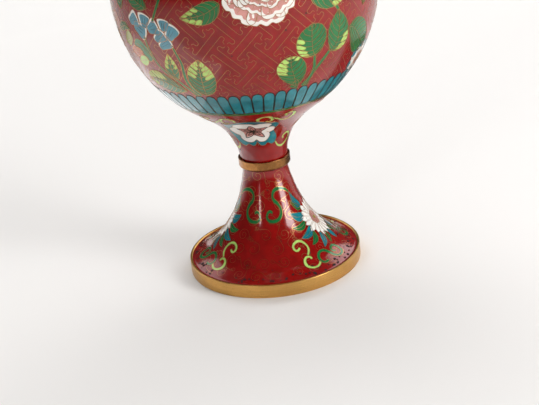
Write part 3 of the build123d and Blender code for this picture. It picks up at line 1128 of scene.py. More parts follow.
def front_sprays(d, shift):
    """The leaf and flower sprays that rise from the lappets on one half of the body."""

    def at(points):
        return moved(points, shift)

    # Stems of the right spray.
    d.stem(at([(20.5, 57.2), (23.4, 61.5), (24.6, 65.5), (24.2, 69), (24.0, 71.8)]), 2.2, 1.6, 1.0)
    d.stem(at([(22.0, 57.2), (24.6, 63.5), (27.6, 67.6), (30.8, 71.8)]), 2.0, 1.5, 1.4)
    d.stem(at([(16.2, 57.2), (17.2, 59.5), (17.2, 61.5)]), 4.2, 3.0, 1.0)
    # Round leaves of the right spray.
    d.leaf(
        at([(17.2, 57.8), (13.2, 60.6), (10.2, 63.8), (8.7, 67), (8.9, 70), (11.2, 72.6), (14.4, 73.6)]),
        at([(17.6, 57.8), (19.8, 60.5), (20.9, 64), (20.8, 67.5), (19.5, 70.5), (17.3, 72.8), (14.4, 73.6)]),
        8, [(0, 0.5, 0.99, 0.72), (1, 0.8, 0.99, 0.6)],
    )
    d.leaf(
        at([(24.2, 71.6), (20.8, 71.4), (17.8, 73), (16.3, 76.3), (16.5, 79.8), (18.4, 83), (22.3, 85.4)]),
        at([(24.2, 71.6), (26.5, 73.3), (28, 76), (28.6, 79), (28, 82), (26, 84.5), (22.3, 85.4)]),
        8, [(0, 0.06, 0.66, 0.62)],
    )
    d.leaf(
        at([(31.2, 71.6), (29.8, 75), (29.3, 78.5), (29.6, 82), (31.5, 85.5), (34, 88.4)]),
        at([(31.2, 71.6), (34.5, 70.7), (38, 72), (39.6, 75), (39.6, 79), (38, 83.5), (34, 88.4)]),
        8, [(1, 0.1, 0.56, 0.6)],
    )
    d.leaf(
        at([(40, 79.4), (44, 82), (49, 80.5), (53, 77), (56, 72), (57, 66)]),
        at([(40, 79), (41.3, 75), (43.2, 70.2), (46, 66.6), (50.5, 65.2), (57, 66)]),
        11, [],
    )
    # Turquoise-tipped flower at the far right of the spray.
    aster(d, 56.5 + shift, 60.5, 9.5, 9, "turquoise")
    # Stems of the left spray.
    d.stem(at([(-25.2, 57.2), (-27.6, 61), (-28.6, 65.5), (-28.1, 70), (-27.6, 74), (-28.6, 78.5),
               (-29.6, 82)]), 1.6, 1.4, 0.9)
    d.stem(at([(-27, 57.2), (-32.6, 64.6), (-37.3, 69), (-40, 73), (-41.6, 79), (-42, 84.6)]), 1.4, 1.3, 0.9)
    # Leaves of the left spray.
    d.leaf(
        at([(-31, 59.6), (-34.5, 64), (-38.5, 67.4), (-43, 68.9), (-47.5, 68.3), (-50.4, 66.4),
            (-51.8, 64)]),
        at([(-31, 59.6), (-35, 58), (-39.5, 57.6), (-44, 58.2), (-48, 60), (-50.8, 62), (-51.8, 64)]),
        9, [(0, 0.5, 0.98, 0.75), (1, 0.8, 0.98, 0.6)],
    )
    d.leaf(
        at([(-33, 65.6), (-35.5, 67.3), (-36.6, 70.4), (-35.6, 73.8), (-34, 76.4), (-32.6, 78.4)]),
        at([(-33, 65.6), (-31.3, 67), (-30.2, 70.4), (-30.4, 73.8), (-31.4, 76.4), (-32.6, 78.4)]),
        5, [(0, 0.5, 0.97, 0.6), (1, 0.5, 0.97, 0.6)],
    )
    d.leaf(
        at([(-22.4, 57.4), (-25.8, 59.4), (-27.2, 63), (-27.3, 67), (-26, 71), (-23.5, 74), (-20.2, 76.2)]),
        at([(-22.4, 57.4), (-18.6, 59), (-16.4, 62.5), (-15.5, 66.5), (-16.1, 70.4), (-17.8, 73.4),
            (-20.2, 76.2)]),
        9, [(0, 0.6, 0.97, 0.72), (1, 0.58, 0.97, 0.8)],
    )
    # A turning leaf in three colours, at the far left of the spray.
    autumn = {
        "leaf": [(-41.3, 75), (-42.5, 79.5), (-45.5, 82.7), (-49, 82.2), (-50.4, 79), (-47, 78.4),
                 (-46.3, 76.4), (-45.3, 75), (-44.2, 73.2)],
        "orange": [(-54.5, 76.4), (-51, 79.3), (-47.3, 78.5), (-46.5, 76.4), (-49, 75.3), (-52.5, 74.2)],
        "tip": [(-51.8, 72.2), (-49, 75), (-45.6, 75.4), (-44.6, 73.6), (-47, 71), (-50, 70.4)],
        "yellow": [(-57, 79.9), (-55.2, 83.7), (-52, 85.6), (-50.4, 82.9), (-52, 80.3), (-54.6, 78.4)],
    }
    for key, points in autumn.items():
        d.cell(key, smooth(at(points), True))
    for path in ([(-41.8, 76), (-45, 79.5), (-49, 80.6)], [(-46, 77.4), (-50, 76.8), (-54, 76.4)],
                 [(-45.4, 73.6), (-48, 73.2), (-51, 72)], [(-51, 83), (-53, 81.6), (-56, 80.4)]):
        d.wire(smooth(at(path)), 0.16)
    d.leaf(
        at([(-50, 86), (-53, 88.6), (-57, 88.4), (-62, 84)]),
        at([(-50, 86), (-54, 85.4), (-57, 84.2), (-62, 84)]), 5,
    )
    # Blue blossoms with white-edged petals: middle, length, width and tilt in degrees.
    for u, v, long, wide, tilt in (
        (-32.2, 82.6, 6.0, 3.4, 30), (-34.0, 85.4, 5.6, 3.2, 32), (-28.6, 87.4, 6.2, 3.8, 55),
        (-36.4, 88.9, 5.4, 4.0, 20), (-31.4, 90.2, 4.4, 3.2, 80), (-43.2, 87.2, 6.6, 4.2, -28),
        (-46.2, 91.2, 5.6, 3.8, 20), (-40.4, 91.4, 5.2, 3.8, 75),
    ):
        blue_petal(d, u + shift, v, long, wide, tilt)


def upper_sprays(d, shift):
    """Peonies, asters, plum branches and leaves on the upper part of one half of the body."""

    def at(points):
        return moved(points, shift)

    def grow_leaf(base, tip, width, bend, ribs=7, pale=()):
        left, right = blade(base, tip, width, bend)
        d.leaf(at(left), at(right), ribs, pale)

    d.stem(at([(34, 88), (30, 94), (24, 99)]), 1.2, 1.2, 1.2)
    d.stem(at([(-36, 91), (-33, 97), (-30, 104), (-31, 112)]), 0.9, 1.1, 0.8)
    peony(d, 6 + shift, 104.5, 16.5)
    for base, tip, width, bend in (
        ((-9, 98), (-24, 93), 8, 1.5), ((22, 96), (40, 94), 8, -1.6), ((-9, 112), (-25, 121), 8, 1.5),
        ((20, 114), (33, 126), 8, -2), ((2, 120), (-8, 133), 7.5, 1.5), ((10, 120), (20, 134), 7.5, -1.5),
    ):
        grow_leaf(base, tip, width, bend, 7, [(0, 0.6, 0.96, 0.6), (1, 0.6, 0.96, 0.6)])
    aster(d, 50 + shift, 108, 10.5, 16)
    grow_leaf((50, 96.5), (48, 86), 6, 1)
    grow_leaf((58, 118), (66, 130), 7, -1.5, 6, [(0, 0.5, 0.95, 0.6)])
    grow_leaf((42, 117), (38, 132), 7, 1.5, 6, [(1, 0.5, 0.95, 0.6)])
    # Plum branch between the two halves.
    d.stem(at([(78, 57.4), (81, 66), (78, 76), (83, 86), (80, 97), (86, 108), (82, 120), (85, 131)]),
           2.6, 1.8, 0.8, "branch")
    d.stem(at([(80, 70), (88, 76), (93, 84)]), 1.2, 1.0, 0.7, "branch")
    d.stem(at([(81, 96), (73, 102), (70, 110)]), 1.2, 1.0, 0.7, "branch")
    for u, v, radius, turn, key in (
        (89, 79, 4.4, 0.3, "white"), (94.5, 88, 4.0, 1.0, "pink"), (76.5, 85, 4.4, 0.6, "white"),
        (87, 100, 4.6, 0.1, "pink"), (70, 112, 4.4, 0.9, "white"), (76, 100, 3.8, 0.5, "white"),
        (89, 116, 4.4, 0.2, "white"), (79, 124, 4.0, 0.8, "pink"), (87, 132, 3.6, 0.4, "white"),
    ):
        plum_blossom(d, u + shift, v, radius, turn, key)
    grow_leaf((77, 60), (70, 80), 6, -2, 8, [(0, 0.5, 0.95, 0.6)])
    grow_leaf((80, 60), (91, 70), 6.5, 1.6, 7, [(1, 0.5, 0.95, 0.6)])
    # Blue blossoms over the left spray.
    for u, v, tilt in ((-30, 116, 60), (-33, 119, 120), (-28, 120, 10), (-33, 123.5, 80), (-37, 117, 160)):
        blue_petal(d, u + shift, v, 6.0, 4.0, tilt)
    grow_leaf((-38, 96), (-49, 106), 7, 1.6, 7, [(1, 0.5, 0.95, 0.6)])
    grow_leaf((-40, 110), (-50, 122), 7, 1.6, 7)
    grow_leaf((-54, 94), (-60, 108), 6.5, -1.4, 7, [(0, 0.5, 0.95, 0.6)])


FRET_MIDDLE = (-2.2, 67.2)
FRET_TALL = 14.7


def fret_paths(chart, repeats, low, high):
    """Pairs of rails that lean right and left by turns, with open gaps between their ends."""
    wide = chart.girth / repeats
    rail = [
        (3.5, -3.0), (3.5, -2.25), (4.8, -2.25), (4.8, -1.0),
        (-4.8, -1.0), (-4.8, -2.25), (-3.5, -2.25), (-3.5, -3.0),
    ]
    rail = rounded_corners(np.array(rail), 0.5)
    first = int((low - FRET_MIDDLE[1]) // (FRET_TALL / 2)) - 1
    last = int((high - FRET_MIDDLE[1]) // (FRET_TALL / 2)) + 2
    for row in range(first, last + 1):
        v = FRET_MIDDLE[1] + row * FRET_TALL / 2
        for column in range(repeats):
            u = FRET_MIDDLE[0] + (column + 0.5 * (row % 2)) * wide
            for quarter in (row % 2, row % 2 + 2):
                c, s = ((1, 0), (0, 1), (-1, 0), (0, -1))[quarter]
                along = rail[:, 0] * c - rail[:, 1] * s
                across = rail[:, 0] * s + rail[:, 1] * c
                yield np.stack([
                    u + (along + across) * wide / 14, v + (along - across) * FRET_TALL / 14
                ], -1)


def rounded_corners(line, radius):
    """An open line with its corners rounded."""
    points = [line[0]]
    for before, here, after in zip(line[:-2], line[1:-1], line[2:]):
        back = here + (before - here) / np.hypot(*(before - here)) * radius
        onward = here + (after - here) / np.hypot(*(after - here)) * radius
        for t in np.linspace(0, 1, 5):
            points.append((1 - t) ** 2 * back + 2 * t * (1 - t) * here + t**2 * onward)
    return np.array(points + [line[-1]])


def clear_stretches(path, taken, low, high, girth):
    """The stretches of a path outside the taken outlines and inside the band."""
    blocked = (path[:, 1] < low) | (path[:, 1] > high)
    for lowest, highest, outline in taken:
        for turn in (-girth, 0.0, girth):
            probe = path + (turn, 0)
            near = np.all((probe >= lowest) & (probe <= highest), axis=1)
            if near.any():
                blocked |= near & inside(outline, probe)
    shrunk = blocked.copy()
    shrunk[1:] &= blocked[:-1]
    shrunk[:-1] &= blocked[1:]
    shrunk |= (path[:, 1] < low) | (path[:, 1] > high)
    stretch = []
    for point, stop in zip(path, shrunk):
        if stop:
            if len(stretch) > 3:
                yield np.array(stretch)
            stretch = []
        else:
            stretch.append(point)
    if len(stretch) > 3:
        yield np.array(stretch)


def boxed(outlines):
    """Outlines with their lowest and highest corners."""
    return [(o.min(0), o.max(0), o) for o in outlines]


class VASE_OT_body_decoration(bpy.types.Operator):
    """Lay the sprays on the body and the key fret round them"""

    bl_idname = "vase.body_decoration"
    bl_label = "Decorate Body"

    def execute(self, context):
        taken = []
        for name, draw in (("low_spray", front_sprays), ("high_spray", upper_sprays)):
            drawing = Drawing(BODY, 1.6)
            for shift in (0.0, BODY.girth / 2):
                draw(drawing, shift)
            drawing.pieces(name)
            taken += drawing.taken
        pitch = BODY.girth / sizes().lappets
        for root, crown in ((BORDER_HIGH, LAPPET_HIGH), (SHOULDER_HIGH, SHOULDER_LOW)):
            outline = lappet_outline(pitch, root, crown)
            for i in range(sizes().lappets):
                taken.append(moved(outline, i * pitch))
        fret = Wires()
        taken = boxed(taken)
        low, high = LAPPET_HIGH - 1.5, SHOULDER_LOW + 1.0
        for path in fret_paths(BODY, sizes().fret_repeats, low, high):
            path = respace(path, 0.55)
            for stretch in clear_stretches(path, taken, low, high, BODY.girth):
                fret.lay(BODY, stretch, sizes().fret_wire, FRET_LIFT)
        add_piece("body_key_fret", fret.mesh("body_key_fret"), gilt_wire(), "gilt_wire")
        return {"FINISHED"}


def cloud_wires(chart, taken, low, high, spacing, wires):
    """Fine scrolls that fill a ground, in rows, each with a smaller scroll at its tail."""
    rng = np.random.default_rng(11)
    v = low + spacing * 0.4
    row = 0
    while v < high - spacing * 0.2:
        true_girth = 2 * math.pi * float(np.interp(v, chart.v, chart.radius))
        count = max(3, int(round(true_girth / (spacing * 1.08))))
        for i in range(count):
            u = (i + 0.5 * (row % 2) + rng.uniform(-0.12, 0.12)) * chart.girth / count
            hand = 1 if (i + row) % 2 else -1
            big = spacing * rng.uniform(0.34, 0.42)
            start = rng.uniform(0, 2 * math.pi)
            scroll = spiral((0, 0), big, rng.uniform(1.3, 1.8), start, hand)
            foot = scroll[0]
            tail = foot * 1.35 + np.array([-foot[1], foot[0]]) * -0.8 * hand
            bud = spiral(tail * 1.15, big * 0.42, 1.1, start + math.pi * 0.6, -hand)
            whole = smooth(np.vstack([scroll[::-1][:-1], tail[None], bud]), step=0.5)
            flat = chart.spot(whole, u, v + rng.uniform(-0.1, 0.1) * spacing)
            for stretch in clear_stretches(flat, taken, low, high, chart.girth):
                wires.lay(chart, stretch, sizes().fret_wire * 0.85, FRET_LIFT)
        v += spacing * 0.8
        row += 1


def both_sides(draw, axis):
    """Runs a drawing step as it is and mirrored about an upright line."""
    draw(lambda points: np.asarray(points, float))
    draw(lambda points: mirrored(points, axis))


class VASE_OT_waist_decoration(bpy.types.Operator):
    """Lay the five-petalled flowers and scrolls on the waist"""

    bl_idname = "vase.waist_decoration"
    bl_label = "Decorate Waist"

    def execute(self, context):
        d = Drawing(WAIST, 0.9)
        for shift in (0.0, WAIST.girth / 2):
            self.flower(d, shift)
        d.pieces("waist")
        return {"FINISHED"}

    def flower(self, d, shift):
        def at(points):
            return moved(points, shift)

        patch = [
            (-3.2, 13.0), (-1.5, 11.0), (1.5, 10.8), (3.4, 12.0), (6, 10.9), (8.3, 12), (8.8, 14.6),
            (7.8, 17), (6.5, 19.3), (5.9, 21), (6.7, 23.5), (7, 26.5), (5.2, 29.3), (2.8, 30.2),
            (1, 32), (-2, 33.8), (-5.5, 33.8), (-8.2, 32), (-10.4, 30.5), (-13, 29.5), (-14.8, 27),
            (-14.9, 24), (-15.6, 21.5), (-17, 19), (-17.2, 15.5), (-15.5, 12.2), (-12, 10.8),
            (-9.2, 11.8), (-6.5, 10.8), (-4.4, 11.4),
        ]
        d.cell("turquoise", smooth(at(patch), True, 0.5))
        white = [
            (-3.3, 14.6), (-1.6, 13.2), (1.4, 13.1), (3.6, 14.8), (4.4, 17.2), (3.9, 19.2), (5.6, 20.4),
            (6.1, 22.4), (5.2, 24.3), (3.2, 25.0), (4.0, 27.3), (2.4, 29.4), (-0.2, 30.0), (-2.0, 29.2),
            (-3.9, 30.8), (-7.2, 30.8), (-9.8, 29), (-10.8, 26.4), (-12.6, 25.2), (-14.2, 22.6),
            (-13.8, 19.4), (-11.8, 17.6), (-12.2, 15.3), (-10, 13.4), (-6.8, 13.0), (-4.8, 13.6),
        ]
        d.cell("white", smooth(at(white), True, 0.5), TIP_LIFT)
        heart = (-3.7, 21.0)
        blush = smooth(at([
            (-3.9, 27.2), (-6.2, 24.6), (-9.4, 24.2), (-8.4, 20.6), (-8.4, 16.8), (-4.2, 18.0),
            (0.8, 16.4), (0.2, 20.4), (2.0, 24.2), (-1.6, 24.6),
        ]), True, 0.5)
        d.cell("pink", blush, TIP_LIFT + 0.02, False, False)
        for u, v in ((-4.0, 28.0), (-9.8, 24.6), (-8.8, 16.0), (1.5, 16.0), (2.6, 24.6)):
            for share, width in ((1.0, 3.0), (0.62, 1.1)):
                tip = (share * u + (1 - share) * heart[0], share * v + (1 - share) * heart[1])
                left, right = blade(heart, tip, width, 0.0)
                loop = respace(at(np.vstack([left, right[-2:0:-1]])), 0.4, True)
                d.wire(loop, 0.34 * share + 0.06, 0.06, closed=True, dark=True)
        for path in ([(-3.3, 14.4), (-3.2, 12.4), (-2.8, 10.9)], [(2.2, 23.8), (3.4, 24.6)],
                     [(4.0, 19.4), (2.6, 20.2)], [(-10.6, 26.2), (-9.6, 25.4)]):
            d.wire(smooth(at(path), step=0.4), 0.22, 0.04)

        def scrolls(side):
            d.stem(at(side([(1.6, 32.6), (2.9, 31.6), (3.6, 33.6), (2.8, 37), (0.9, 38), (-0.6, 36),
                            (-0.5, 33.6)])), 0.7, 1.1, 0.8, "tip")
            d.stem(at(side([(3.6, 35.8), (5.2, 33.6), (7.2, 31), (9.2, 31), (9.9, 34), (9.5, 37.4),
                            (8.1, 38.6), (7, 37), (7.8, 35.2)])), 0.8, 1.1, 0.7, "tip")
            d.stem(at(side([(8.6, 11.8), (11, 9.3), (15, 8.4), (18.6, 9.8), (20, 12.3), (18.4, 14.6),
                            (15.4, 15), (13.8, 13.4), (15, 12.2)])), 0.8, 1.3, 0.9, "tip")

        both_sides(scrolls, -4.0)
        middle = -4.0 + WAIST.girth / 4
        plum_blossom(d, middle + shift, 27.0, 4.4, 0.3)
        for side, lean in ((-1, -1.0), (1, 1.0)):
            left, right = blade((middle, 22), (middle + side * 8.0, 17), 3.4, lean)
            d.leaf(at(left), at(right), 4)
            left, right = blade((middle, 32), (middle + side * 6.5, 37.4), 3.2, -lean)
            d.leaf(at(left), at(right), 4)


def lotus_scroll(d, shift, lift_v=0.0):
    """One repeat of the foot's ornament: a white flower, its leaves, and scrolls on each side."""
    # The u of the scrolls' mirror line and of the flower's middle.
    axis, flower = -5.45, 33.82

    def at(points):
        return moved(points, shift, lift_v)

    # Colour, base, tip, width and bend of each leaf beside the flower.
    leaves = (
        ("turquoise", (27.5, 31.5), (20.0, 39.6), 5.2, 2.2), ("leaf", (25.5, 30.2), (17.6, 35.2), 2.8, 0.8),
        ("turquoise", (24.5, 27.4), (13.4, 30.6), 4.4, 1.6), ("leaf", (22.6, 24.4), (11.6, 24.0), 3.0, 1.4),
        ("turquoise", (24.6, 21.6), (14.4, 18.3), 3.6, 1.3), ("leaf", (24.0, 18.8), (17.8, 13.6), 2.8, 1.1),
        ("turquoise", (27.2, 16.8), (22.4, 10.0), 3.0, 0.9), ("leaf", (30.2, 15.6), (27.9, 9.8), 2.4, 0.5),
    )

    def wing(side):
        for key, base, tip, width, bend in leaves:
            left, right = blade(side([base])[0], side([tip])[0], width, bend * side_sign(side))
            outline = np.vstack([left, right[-2:0:-1]])
            d.cell(key, respace(at(outline), 0.45, True))
            d.wire(respace(at((left + right)[2:-3] / 2), 0.6), 0.14, 0.02)

    both_sides(wing, flower)
    left, right = blade((flower, 14.8), (flower, 8.8), 3.2, 0.0)
    d.cell("turquoise", respace(at(np.vstack([left, right[-2:0:-1]])), 0.45, True))
    aster(d, flower + shift, 22.6 + lift_v, 10.2, 18)

    def vines(side):
        d.stem(at(side([(1.4, 32.2), (-0.4, 33.0), (-2.5, 32.0), (-2.9, 30.2), (-1.2, 28.8), (2, 28.5),
                        (5.2, 29.2), (7.6, 31.2), (8.0, 33.8), (6.2, 36.0), (3.7, 37.6), (3.2, 39.6),
                        (4.8, 41.4), (8.4, 42.2), (12.6, 41.9), (16.6, 41), (19.6, 39.4)])), 1.2, 2.0, 1.3)
        d.stem(at(side([(11.4, 14.7), (9.7, 13.6), (8.5, 14.9), (9.0, 16.7), (11.2, 17.8), (13.5, 17.2),
                        (14.9, 15.2), (14.9, 12.8), (13.2, 10.4)])), 1.0, 1.25, 0.9, "tip")
        d.stem(at(side([(14.0, 8.2), (13.4, 9.6), (11.8, 9.6), (10.7, 8.0), (10.8, 5.8), (12.0, 4.2),
                        (13.9, 3.8), (15.4, 4.6), (16.3, 5.8)])), 0.9, 1.3, 0.8, "tip")
        d.stem(at(side([(19.4, 4.4), (17.6, 4.1), (16.6, 5.9), (17.0, 8.2), (18.9, 9.7), (21.2, 9.0),
                        (22.6, 6.8), (23.3, 4.6), (25.2, 3.2), (27.6, 4.2), (28.1, 6.8), (26.6, 8.8),
                        (24.6, 8.3), (24.4, 6.6), (25.8, 6.0)])), 1.1, 1.4, 1.0)

    both_sides(vines, axis)


def side_sign(side):
    """1 for a step drawn as it is and -1 for a mirrored one."""
    return float(np.sign(side([(1.0, 0.0)])[0][0] - side([(0.0, 0.0)])[0][0]))


class VASE_OT_foot_decoration(bpy.types.Operator):
    """Lay the white flowers, vines and cloud wires on the foot"""

    bl_idname = "vase.foot_decoration"
    bl_label = "Decorate Foot"

    def execute(self, context):
        d = Drawing(FOOT, 1.0)
        for shift in (0.0, FOOT.girth / 2):
            lotus_scroll(d, shift)
        d.pieces("foot")
        wires = Wires()
        cloud_wires(FOOT, boxed(d.taken), 1.2, FOOT.length - 1.5, 7.8, wires)
        add_piece("foot_cloud_wires", wires.mesh("foot_clouds"), gilt_wire(), "gilt_wire")
        return {"FINISHED"}


class VASE_OT_neck_decoration(bpy.types.Operator):
    """Lay the flowers and vines on the neck"""

    bl_idname = "vase.neck_decoration"
    bl_label = "Decorate Neck"

    def execute(self, context):
        d = Drawing(NECK, 1.0)
        for shift in (0.0, NECK.girth / 2):
            lotus_scroll(d, shift, SHOULDER_BORDER + 6.0)
        d.pieces("neck")
        wires = Wires()
        cloud_wires(NECK, boxed(d.taken), SHOULDER_BORDER + 1.0, NECK.length - 3.5, 6.2, wires)
        add_piece("neck_cloud_wires", wires.mesh("neck_clouds"), gilt_wire(), "gilt_wire")
        return {"FINISHED"}


class VASE_OT_pinholes(bpy.types.Operator):
    """Scatter the dark pits that firing leaves in the ground"""

    bl_idname = "vase.pinholes"
    bl_label = "Scatter Pinholes"

    def execute(self, context):
        pit = enamel("pit", shade=0.3, mottle=0.2, scale=600.0, pinholes=0.0, ripple=0.3, polish=0.85)
        # Wall, its lower and upper v, pits to the square metre, smallest and largest radius in mm.
        places = {
            "foot_edge_pits": (FOOT, 0.5, 3.4, 170000.0, 0.28, 0.64),
            "foot_lip_pits": (FOOT, 3.4, 9.0, 40000.0, 0.16, 0.46),
            "collar_pits": (BODY, 0.6, 3.8, 180000.0, 0.18, 0.42),
            "foot_pits": (FOOT, 3.0, FOOT.length - 2, 22000.0, 0.1, 0.3),
            "waist_pits": (BODY, 1.0, BORDER_LOW, 16000.0, 0.12, 0.36),
            "body_pits": (BODY, LAPPET_HIGH + 1, SHOULDER_LOW - 1, 3800.0, 0.12, 0.38),
            "neck_pits": (BODY, SHOULDER_BORDER + 1, BODY.length - 4, 15000.0, 0.1, 0.28),
        }
        for number, (name, (chart, low, high, density, small, large)) in enumerate(places.items()):
            mesh = grown(name, ground_patch(chart, low, high), "Pinholes", {
                "Density": density, "Smallest": small * MM, "Largest": large * MM,
                "Seed": sizes().seed + number, "Material": pit,
            })
            add_piece(name, mesh, pit, "red_enamel")
        return {"FINISHED"}


def ground_patch(chart, low, high, around_count=240):
    """The bare wall between two v values, to scatter over."""
    levels = np.linspace(low, high, max(3, int((high - low) / 2)))
    u = np.linspace(0, chart.girth, around_count, endpoint=False)
    sheet = Sheet()
    flat = np.stack(np.meshgrid(u, levels), -1).reshape(-1, 2)
    faces = []
    for row in range(len(levels) - 1):
        for i in range(around_count):
            a = row * around_count + i
            b = row * around_count + (i + 1) % around_count
            faces.append((a, b, b + around_count, a + around_count))
    sheet.add(chart.place(flat), faces)
    return sheet.mesh("patch")


# ---------------------------------------------------------------- stage


CAMERA_BACK, CAMERA_UP = 486.7, 233.0
CAMERA_TILT, CAMERA_ROLL = 22.9, -6.61
CAMERA_LENS = 80.15

# The floor is a ring that laps just under the foot, so light also reaches the foot's inside.
# It melts into the bright room between two distances from the axis. All in metres.
FLOOR_RADIUS, FLOOR_SIDES, FLOOR_LAP = 4.0, 96, 0.0004
FLOOR_FADE = (0.5, 1.3)

# Two corners of the painted shade card, a dark sheet that only the glaze mirrors in place of shadowed floor,
# and its height over the floor, in metres.
CARD_LOW, CARD_HIGH, CARD_RAISED = (0.052, 0.02), (0.17, 0.17), 0.0005

# How strongly the room shines on the vase and how bright it looks behind it.
ROOM_GLOW, ROOM_SEEN = 0.06, 0.93

# Soft lights: name, place, point aimed at, size, power, who sees it. All in metres and watts.
LAMPS = (
    ("right_softbox", (0.84, -0.54, 0.36), (0, 0, 0.05), (0.4, 0.6), 9.0, {}),
    ("strip_light", (-0.6, -0.8, 0.38), (0, 0, 0.04), (0.05, 0.42), 1.3, {}),
    ("left_floor_glow", (-0.17, 0.03, 0.002), (-0.17, 0.03, 1), (0.22, 0.3), 0.18, {"mirrored": True}),
    ("back_softbox", (-0.2, 0.9, 1.3), (0, 0.3, 0), (1.4, 1.4), 10.0, {"unseen": True}),
    ("back_right_panel", (0.74, 0.95, 0.9), (0, 0, 0), (0.9, 0.6), 5.0, {}),
    ("back_left_panel", (-0.74, 0.95, 0.9), (0, 0, 0), (0.9, 0.6), 3.0, {}),
    ("ceiling_bounce", (0, 0.2, 2.4), (0, 0, 0), (4, 4), 29.0, {"unseen": True}),
    ("front_bounce", (-0.3, -2.4, 0.9), (0, 0, 0.1), (3, 1.6), 10.0, {"unseen": True}),
    ("light_from_below", (0, 0, -0.7), (0, 0, 0), (1, 1), 5.0, {"unseen": True}),
)


def panel(name, place, aim, size, power, unseen=False, mirrored=False):
    """A soft light that faces a point. The glaze doesn't mirror an unseen one, and only the
    glaze shows a mirrored one."""
    data = bpy.data.lights.new(name, "AREA")
    data.shape = "RECTANGLE"
    data.size, data.size_y = size
    data.energy = power
    lamp = bpy.data.objects.new(name, data)
    back = np.array(place, float) - np.array(aim, float)
    back /= np.linalg.norm(back)
    side = np.cross((0, 0, 1), back)
    side = side / np.linalg.norm(side) if np.linalg.norm(side) > 1e-6 else np.array([1.0, 0, 0])
    up = np.cross(back, side)
    lamp.matrix_world = Matrix([
        (side[0], up[0], back[0], place[0]), (side[1], up[1], back[1], place[1]),
        (side[2], up[2], back[2], place[2]), (0, 0, 0, 1),
    ])
    lamp.visible_camera = False
    lamp.visible_glossy = not unseen
    lamp.visible_diffuse = not mirrored
    bpy.context.scene.collection.objects.link(lamp)


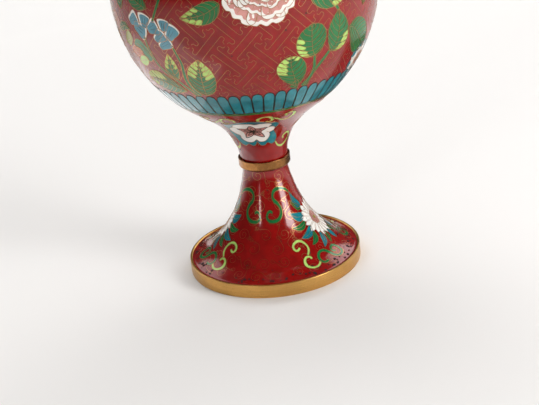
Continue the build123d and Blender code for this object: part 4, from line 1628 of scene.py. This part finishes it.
class VASE_OT_stage(bpy.types.Operator):
    """Set the pale floor, the soft studio lights and the camera"""

    bl_idname = "vase.stage"
    bl_label = "Set Stage"

    def execute(self, context):
        self.floor()
        self.dark_card()
        self.sky()
        for name, place, aim, size, power, seen in LAMPS:
            panel(name, place, aim, size, power, **seen)
        self.camera()
        return {"FINISHED"}

    def floor(self):
        sheet = Sheet()
        turns = np.linspace(0, 2 * math.pi, FLOOR_SIDES, endpoint=False)
        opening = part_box("foot_rim")[1][0] - FLOOR_LAP
        rings = [
            np.stack([radius * np.cos(turns), radius * np.sin(turns), 0 * turns], -1)
            for radius in (opening, FLOOR_RADIUS)
        ]
        faces = []
        for i in range(FLOOR_SIDES):
            following = (i + 1) % FLOOR_SIDES
            faces.append((i, FLOOR_SIDES + i, FLOOR_SIDES + following, following))
        sheet.add(np.vstack(rings), faces)
        mesh = sheet.mesh("floor")
        floor = bpy.data.objects.new("floor", mesh)
        bpy.context.scene.collection.objects.link(floor)
        material = bpy.data.materials.new("pale_floor")
        material.use_nodes = True
        principled = material.node_tree.nodes["Principled BSDF"]
        principled.inputs["Base Color"].default_value = (0.87, 0.85, 0.83, 1)
        principled.inputs["Roughness"].default_value = 0.9
        principled.inputs["Specular IOR Level"].default_value = 0.2
        g = Graph(material.node_tree)
        geometry = g.node("ShaderNodeNewGeometry")
        away = g.node("ShaderNodeVectorMath", {"operation": "LENGTH"})
        g.feed(away, 0, geometry.outputs["Position"])
        faded = g.spread(away.outputs["Value"], FLOOR_FADE[0], FLOOR_FADE[1], 0.0, 1.0)
        clear = g.math("MAXIMUM", faded, geometry.outputs["Backfacing"])
        see_through = g.node("ShaderNodeBsdfTransparent").outputs[0]
        surface = g.node("ShaderNodeMixShader")
        g.feed(surface, 0, clear)
        g.feed(surface, 1, principled.outputs[0])
        g.feed(surface, 2, see_through)
        g.feed(material.node_tree.nodes["Material Output"], "Surface", surface.outputs[0])
        mesh.materials.append(material)

    def dark_card(self):
        """Painted shade: a dark sheet that only the glaze mirrors, standing in for shadowed floor right of
        the foot, so the right flank's glaze doesn't mirror too much of the white floor.
        """
        sheet = Sheet()
        (left, near), (right, far) = CARD_LOW, CARD_HIGH
        corners = [(left, near), (right, near), (right, far), (left, far)]
        sheet.add([(x, y, CARD_RAISED) for x, y in corners], [(0, 1, 2, 3)])
        card = bpy.data.objects.new("dark_card", sheet.mesh("dark_card"))
        bpy.context.scene.collection.objects.link(card)
        material = bpy.data.materials.new("dark_card")
        material.use_nodes = True
        principled = material.node_tree.nodes["Principled BSDF"]
        # Painted shade: this dark colour stands in for the floor's shadow in the glaze's reflections.
        principled.inputs["Base Color"].default_value = (0.12, 0.11, 0.11, 1)
        principled.inputs["Roughness"].default_value = 1.0
        card.data.materials.append(material)
        card.visible_camera = card.visible_diffuse = card.visible_shadow = False

    def sky(self):
        """A dim room that looks bright behind the vase."""
        world = bpy.data.worlds.new("studio")
        bpy.context.scene.world = world
        world.use_nodes = True
        tree = world.node_tree
        back = tree.nodes["Background"]
        back.inputs["Color"].default_value = (1, 0.99, 0.98, 1)
        g = Graph(tree)
        seen = g.node("ShaderNodeLightPath").outputs["Is Camera Ray"]
        g.feed(back, "Strength", g.spread(seen, 0.0, 1.0, ROOM_GLOW, ROOM_SEEN))

    def camera(self):
        data = bpy.data.cameras.new("camera")
        data.lens = CAMERA_LENS
        data.sensor_width = 36.0
        data.clip_start = 0.01
        camera = bpy.data.objects.new("camera", data)
        tilt, roll = math.radians(CAMERA_TILT), math.radians(CAMERA_ROLL)
        onward = np.array([0, math.cos(tilt), -math.sin(tilt)])
        level = np.array([1.0, 0, 0])
        top = np.cross(level, onward)
        right = math.cos(roll) * level + math.sin(roll) * top
        up = -math.sin(roll) * level + math.cos(roll) * top
        place = (0.0, -CAMERA_BACK * MM, CAMERA_UP * MM)
        camera.matrix_world = Matrix([
            (right[k], up[k], -onward[k], place[k]) for k in range(3)
        ] + [(0, 0, 0, 1)])
        bpy.context.scene.collection.objects.link(camera)
        bpy.context.scene.camera = camera
        bpy.context.scene.view_settings.view_transform = "Standard"


# ---------------------------------------------------------------- add-on parts


OPERATORS = (
    VASE_OT_walls,
    VASE_OT_mounts,
    VASE_OT_bands,
    VASE_OT_body_decoration,
    VASE_OT_waist_decoration,
    VASE_OT_foot_decoration,
    VASE_OT_neck_decoration,
    VASE_OT_pinholes,
    VASE_OT_stage,
)


class VASE_PT_panel(bpy.types.Panel):
    """The vase's steps and settings"""

    bl_idname = "VASE_PT_panel"
    bl_label = "Cloisonne Vase"
    bl_space_type = "VIEW_3D"
    bl_region_type = "UI"
    bl_category = "Vase"

    def draw(self, context):
        for step in OPERATORS:
            self.layout.operator(step.bl_idname)
        for settings in (context.scene.vase_sizes, context.scene.vase_colours):
            for name in settings.__annotations__:
                self.layout.prop(settings, name)


CLASSES = (VaseSizes, VaseColours, *OPERATORS, VASE_PT_panel)


def register():
    for item in CLASSES:
        bpy.utils.register_class(item)
    bpy.types.Scene.vase_sizes = PointerProperty(type=VaseSizes)
    bpy.types.Scene.vase_colours = PointerProperty(type=VaseColours)


def unregister():
    del bpy.types.Scene.vase_colours
    del bpy.types.Scene.vase_sizes
    for item in reversed(CLASSES):
        bpy.utils.unregister_class(item)


def main():
    register()
    build_groups()
    for step in OPERATORS:
        group, name = step.bl_idname.split(".")
        getattr(getattr(bpy.ops, group), name)()


if __name__ == "__main__":
    main()
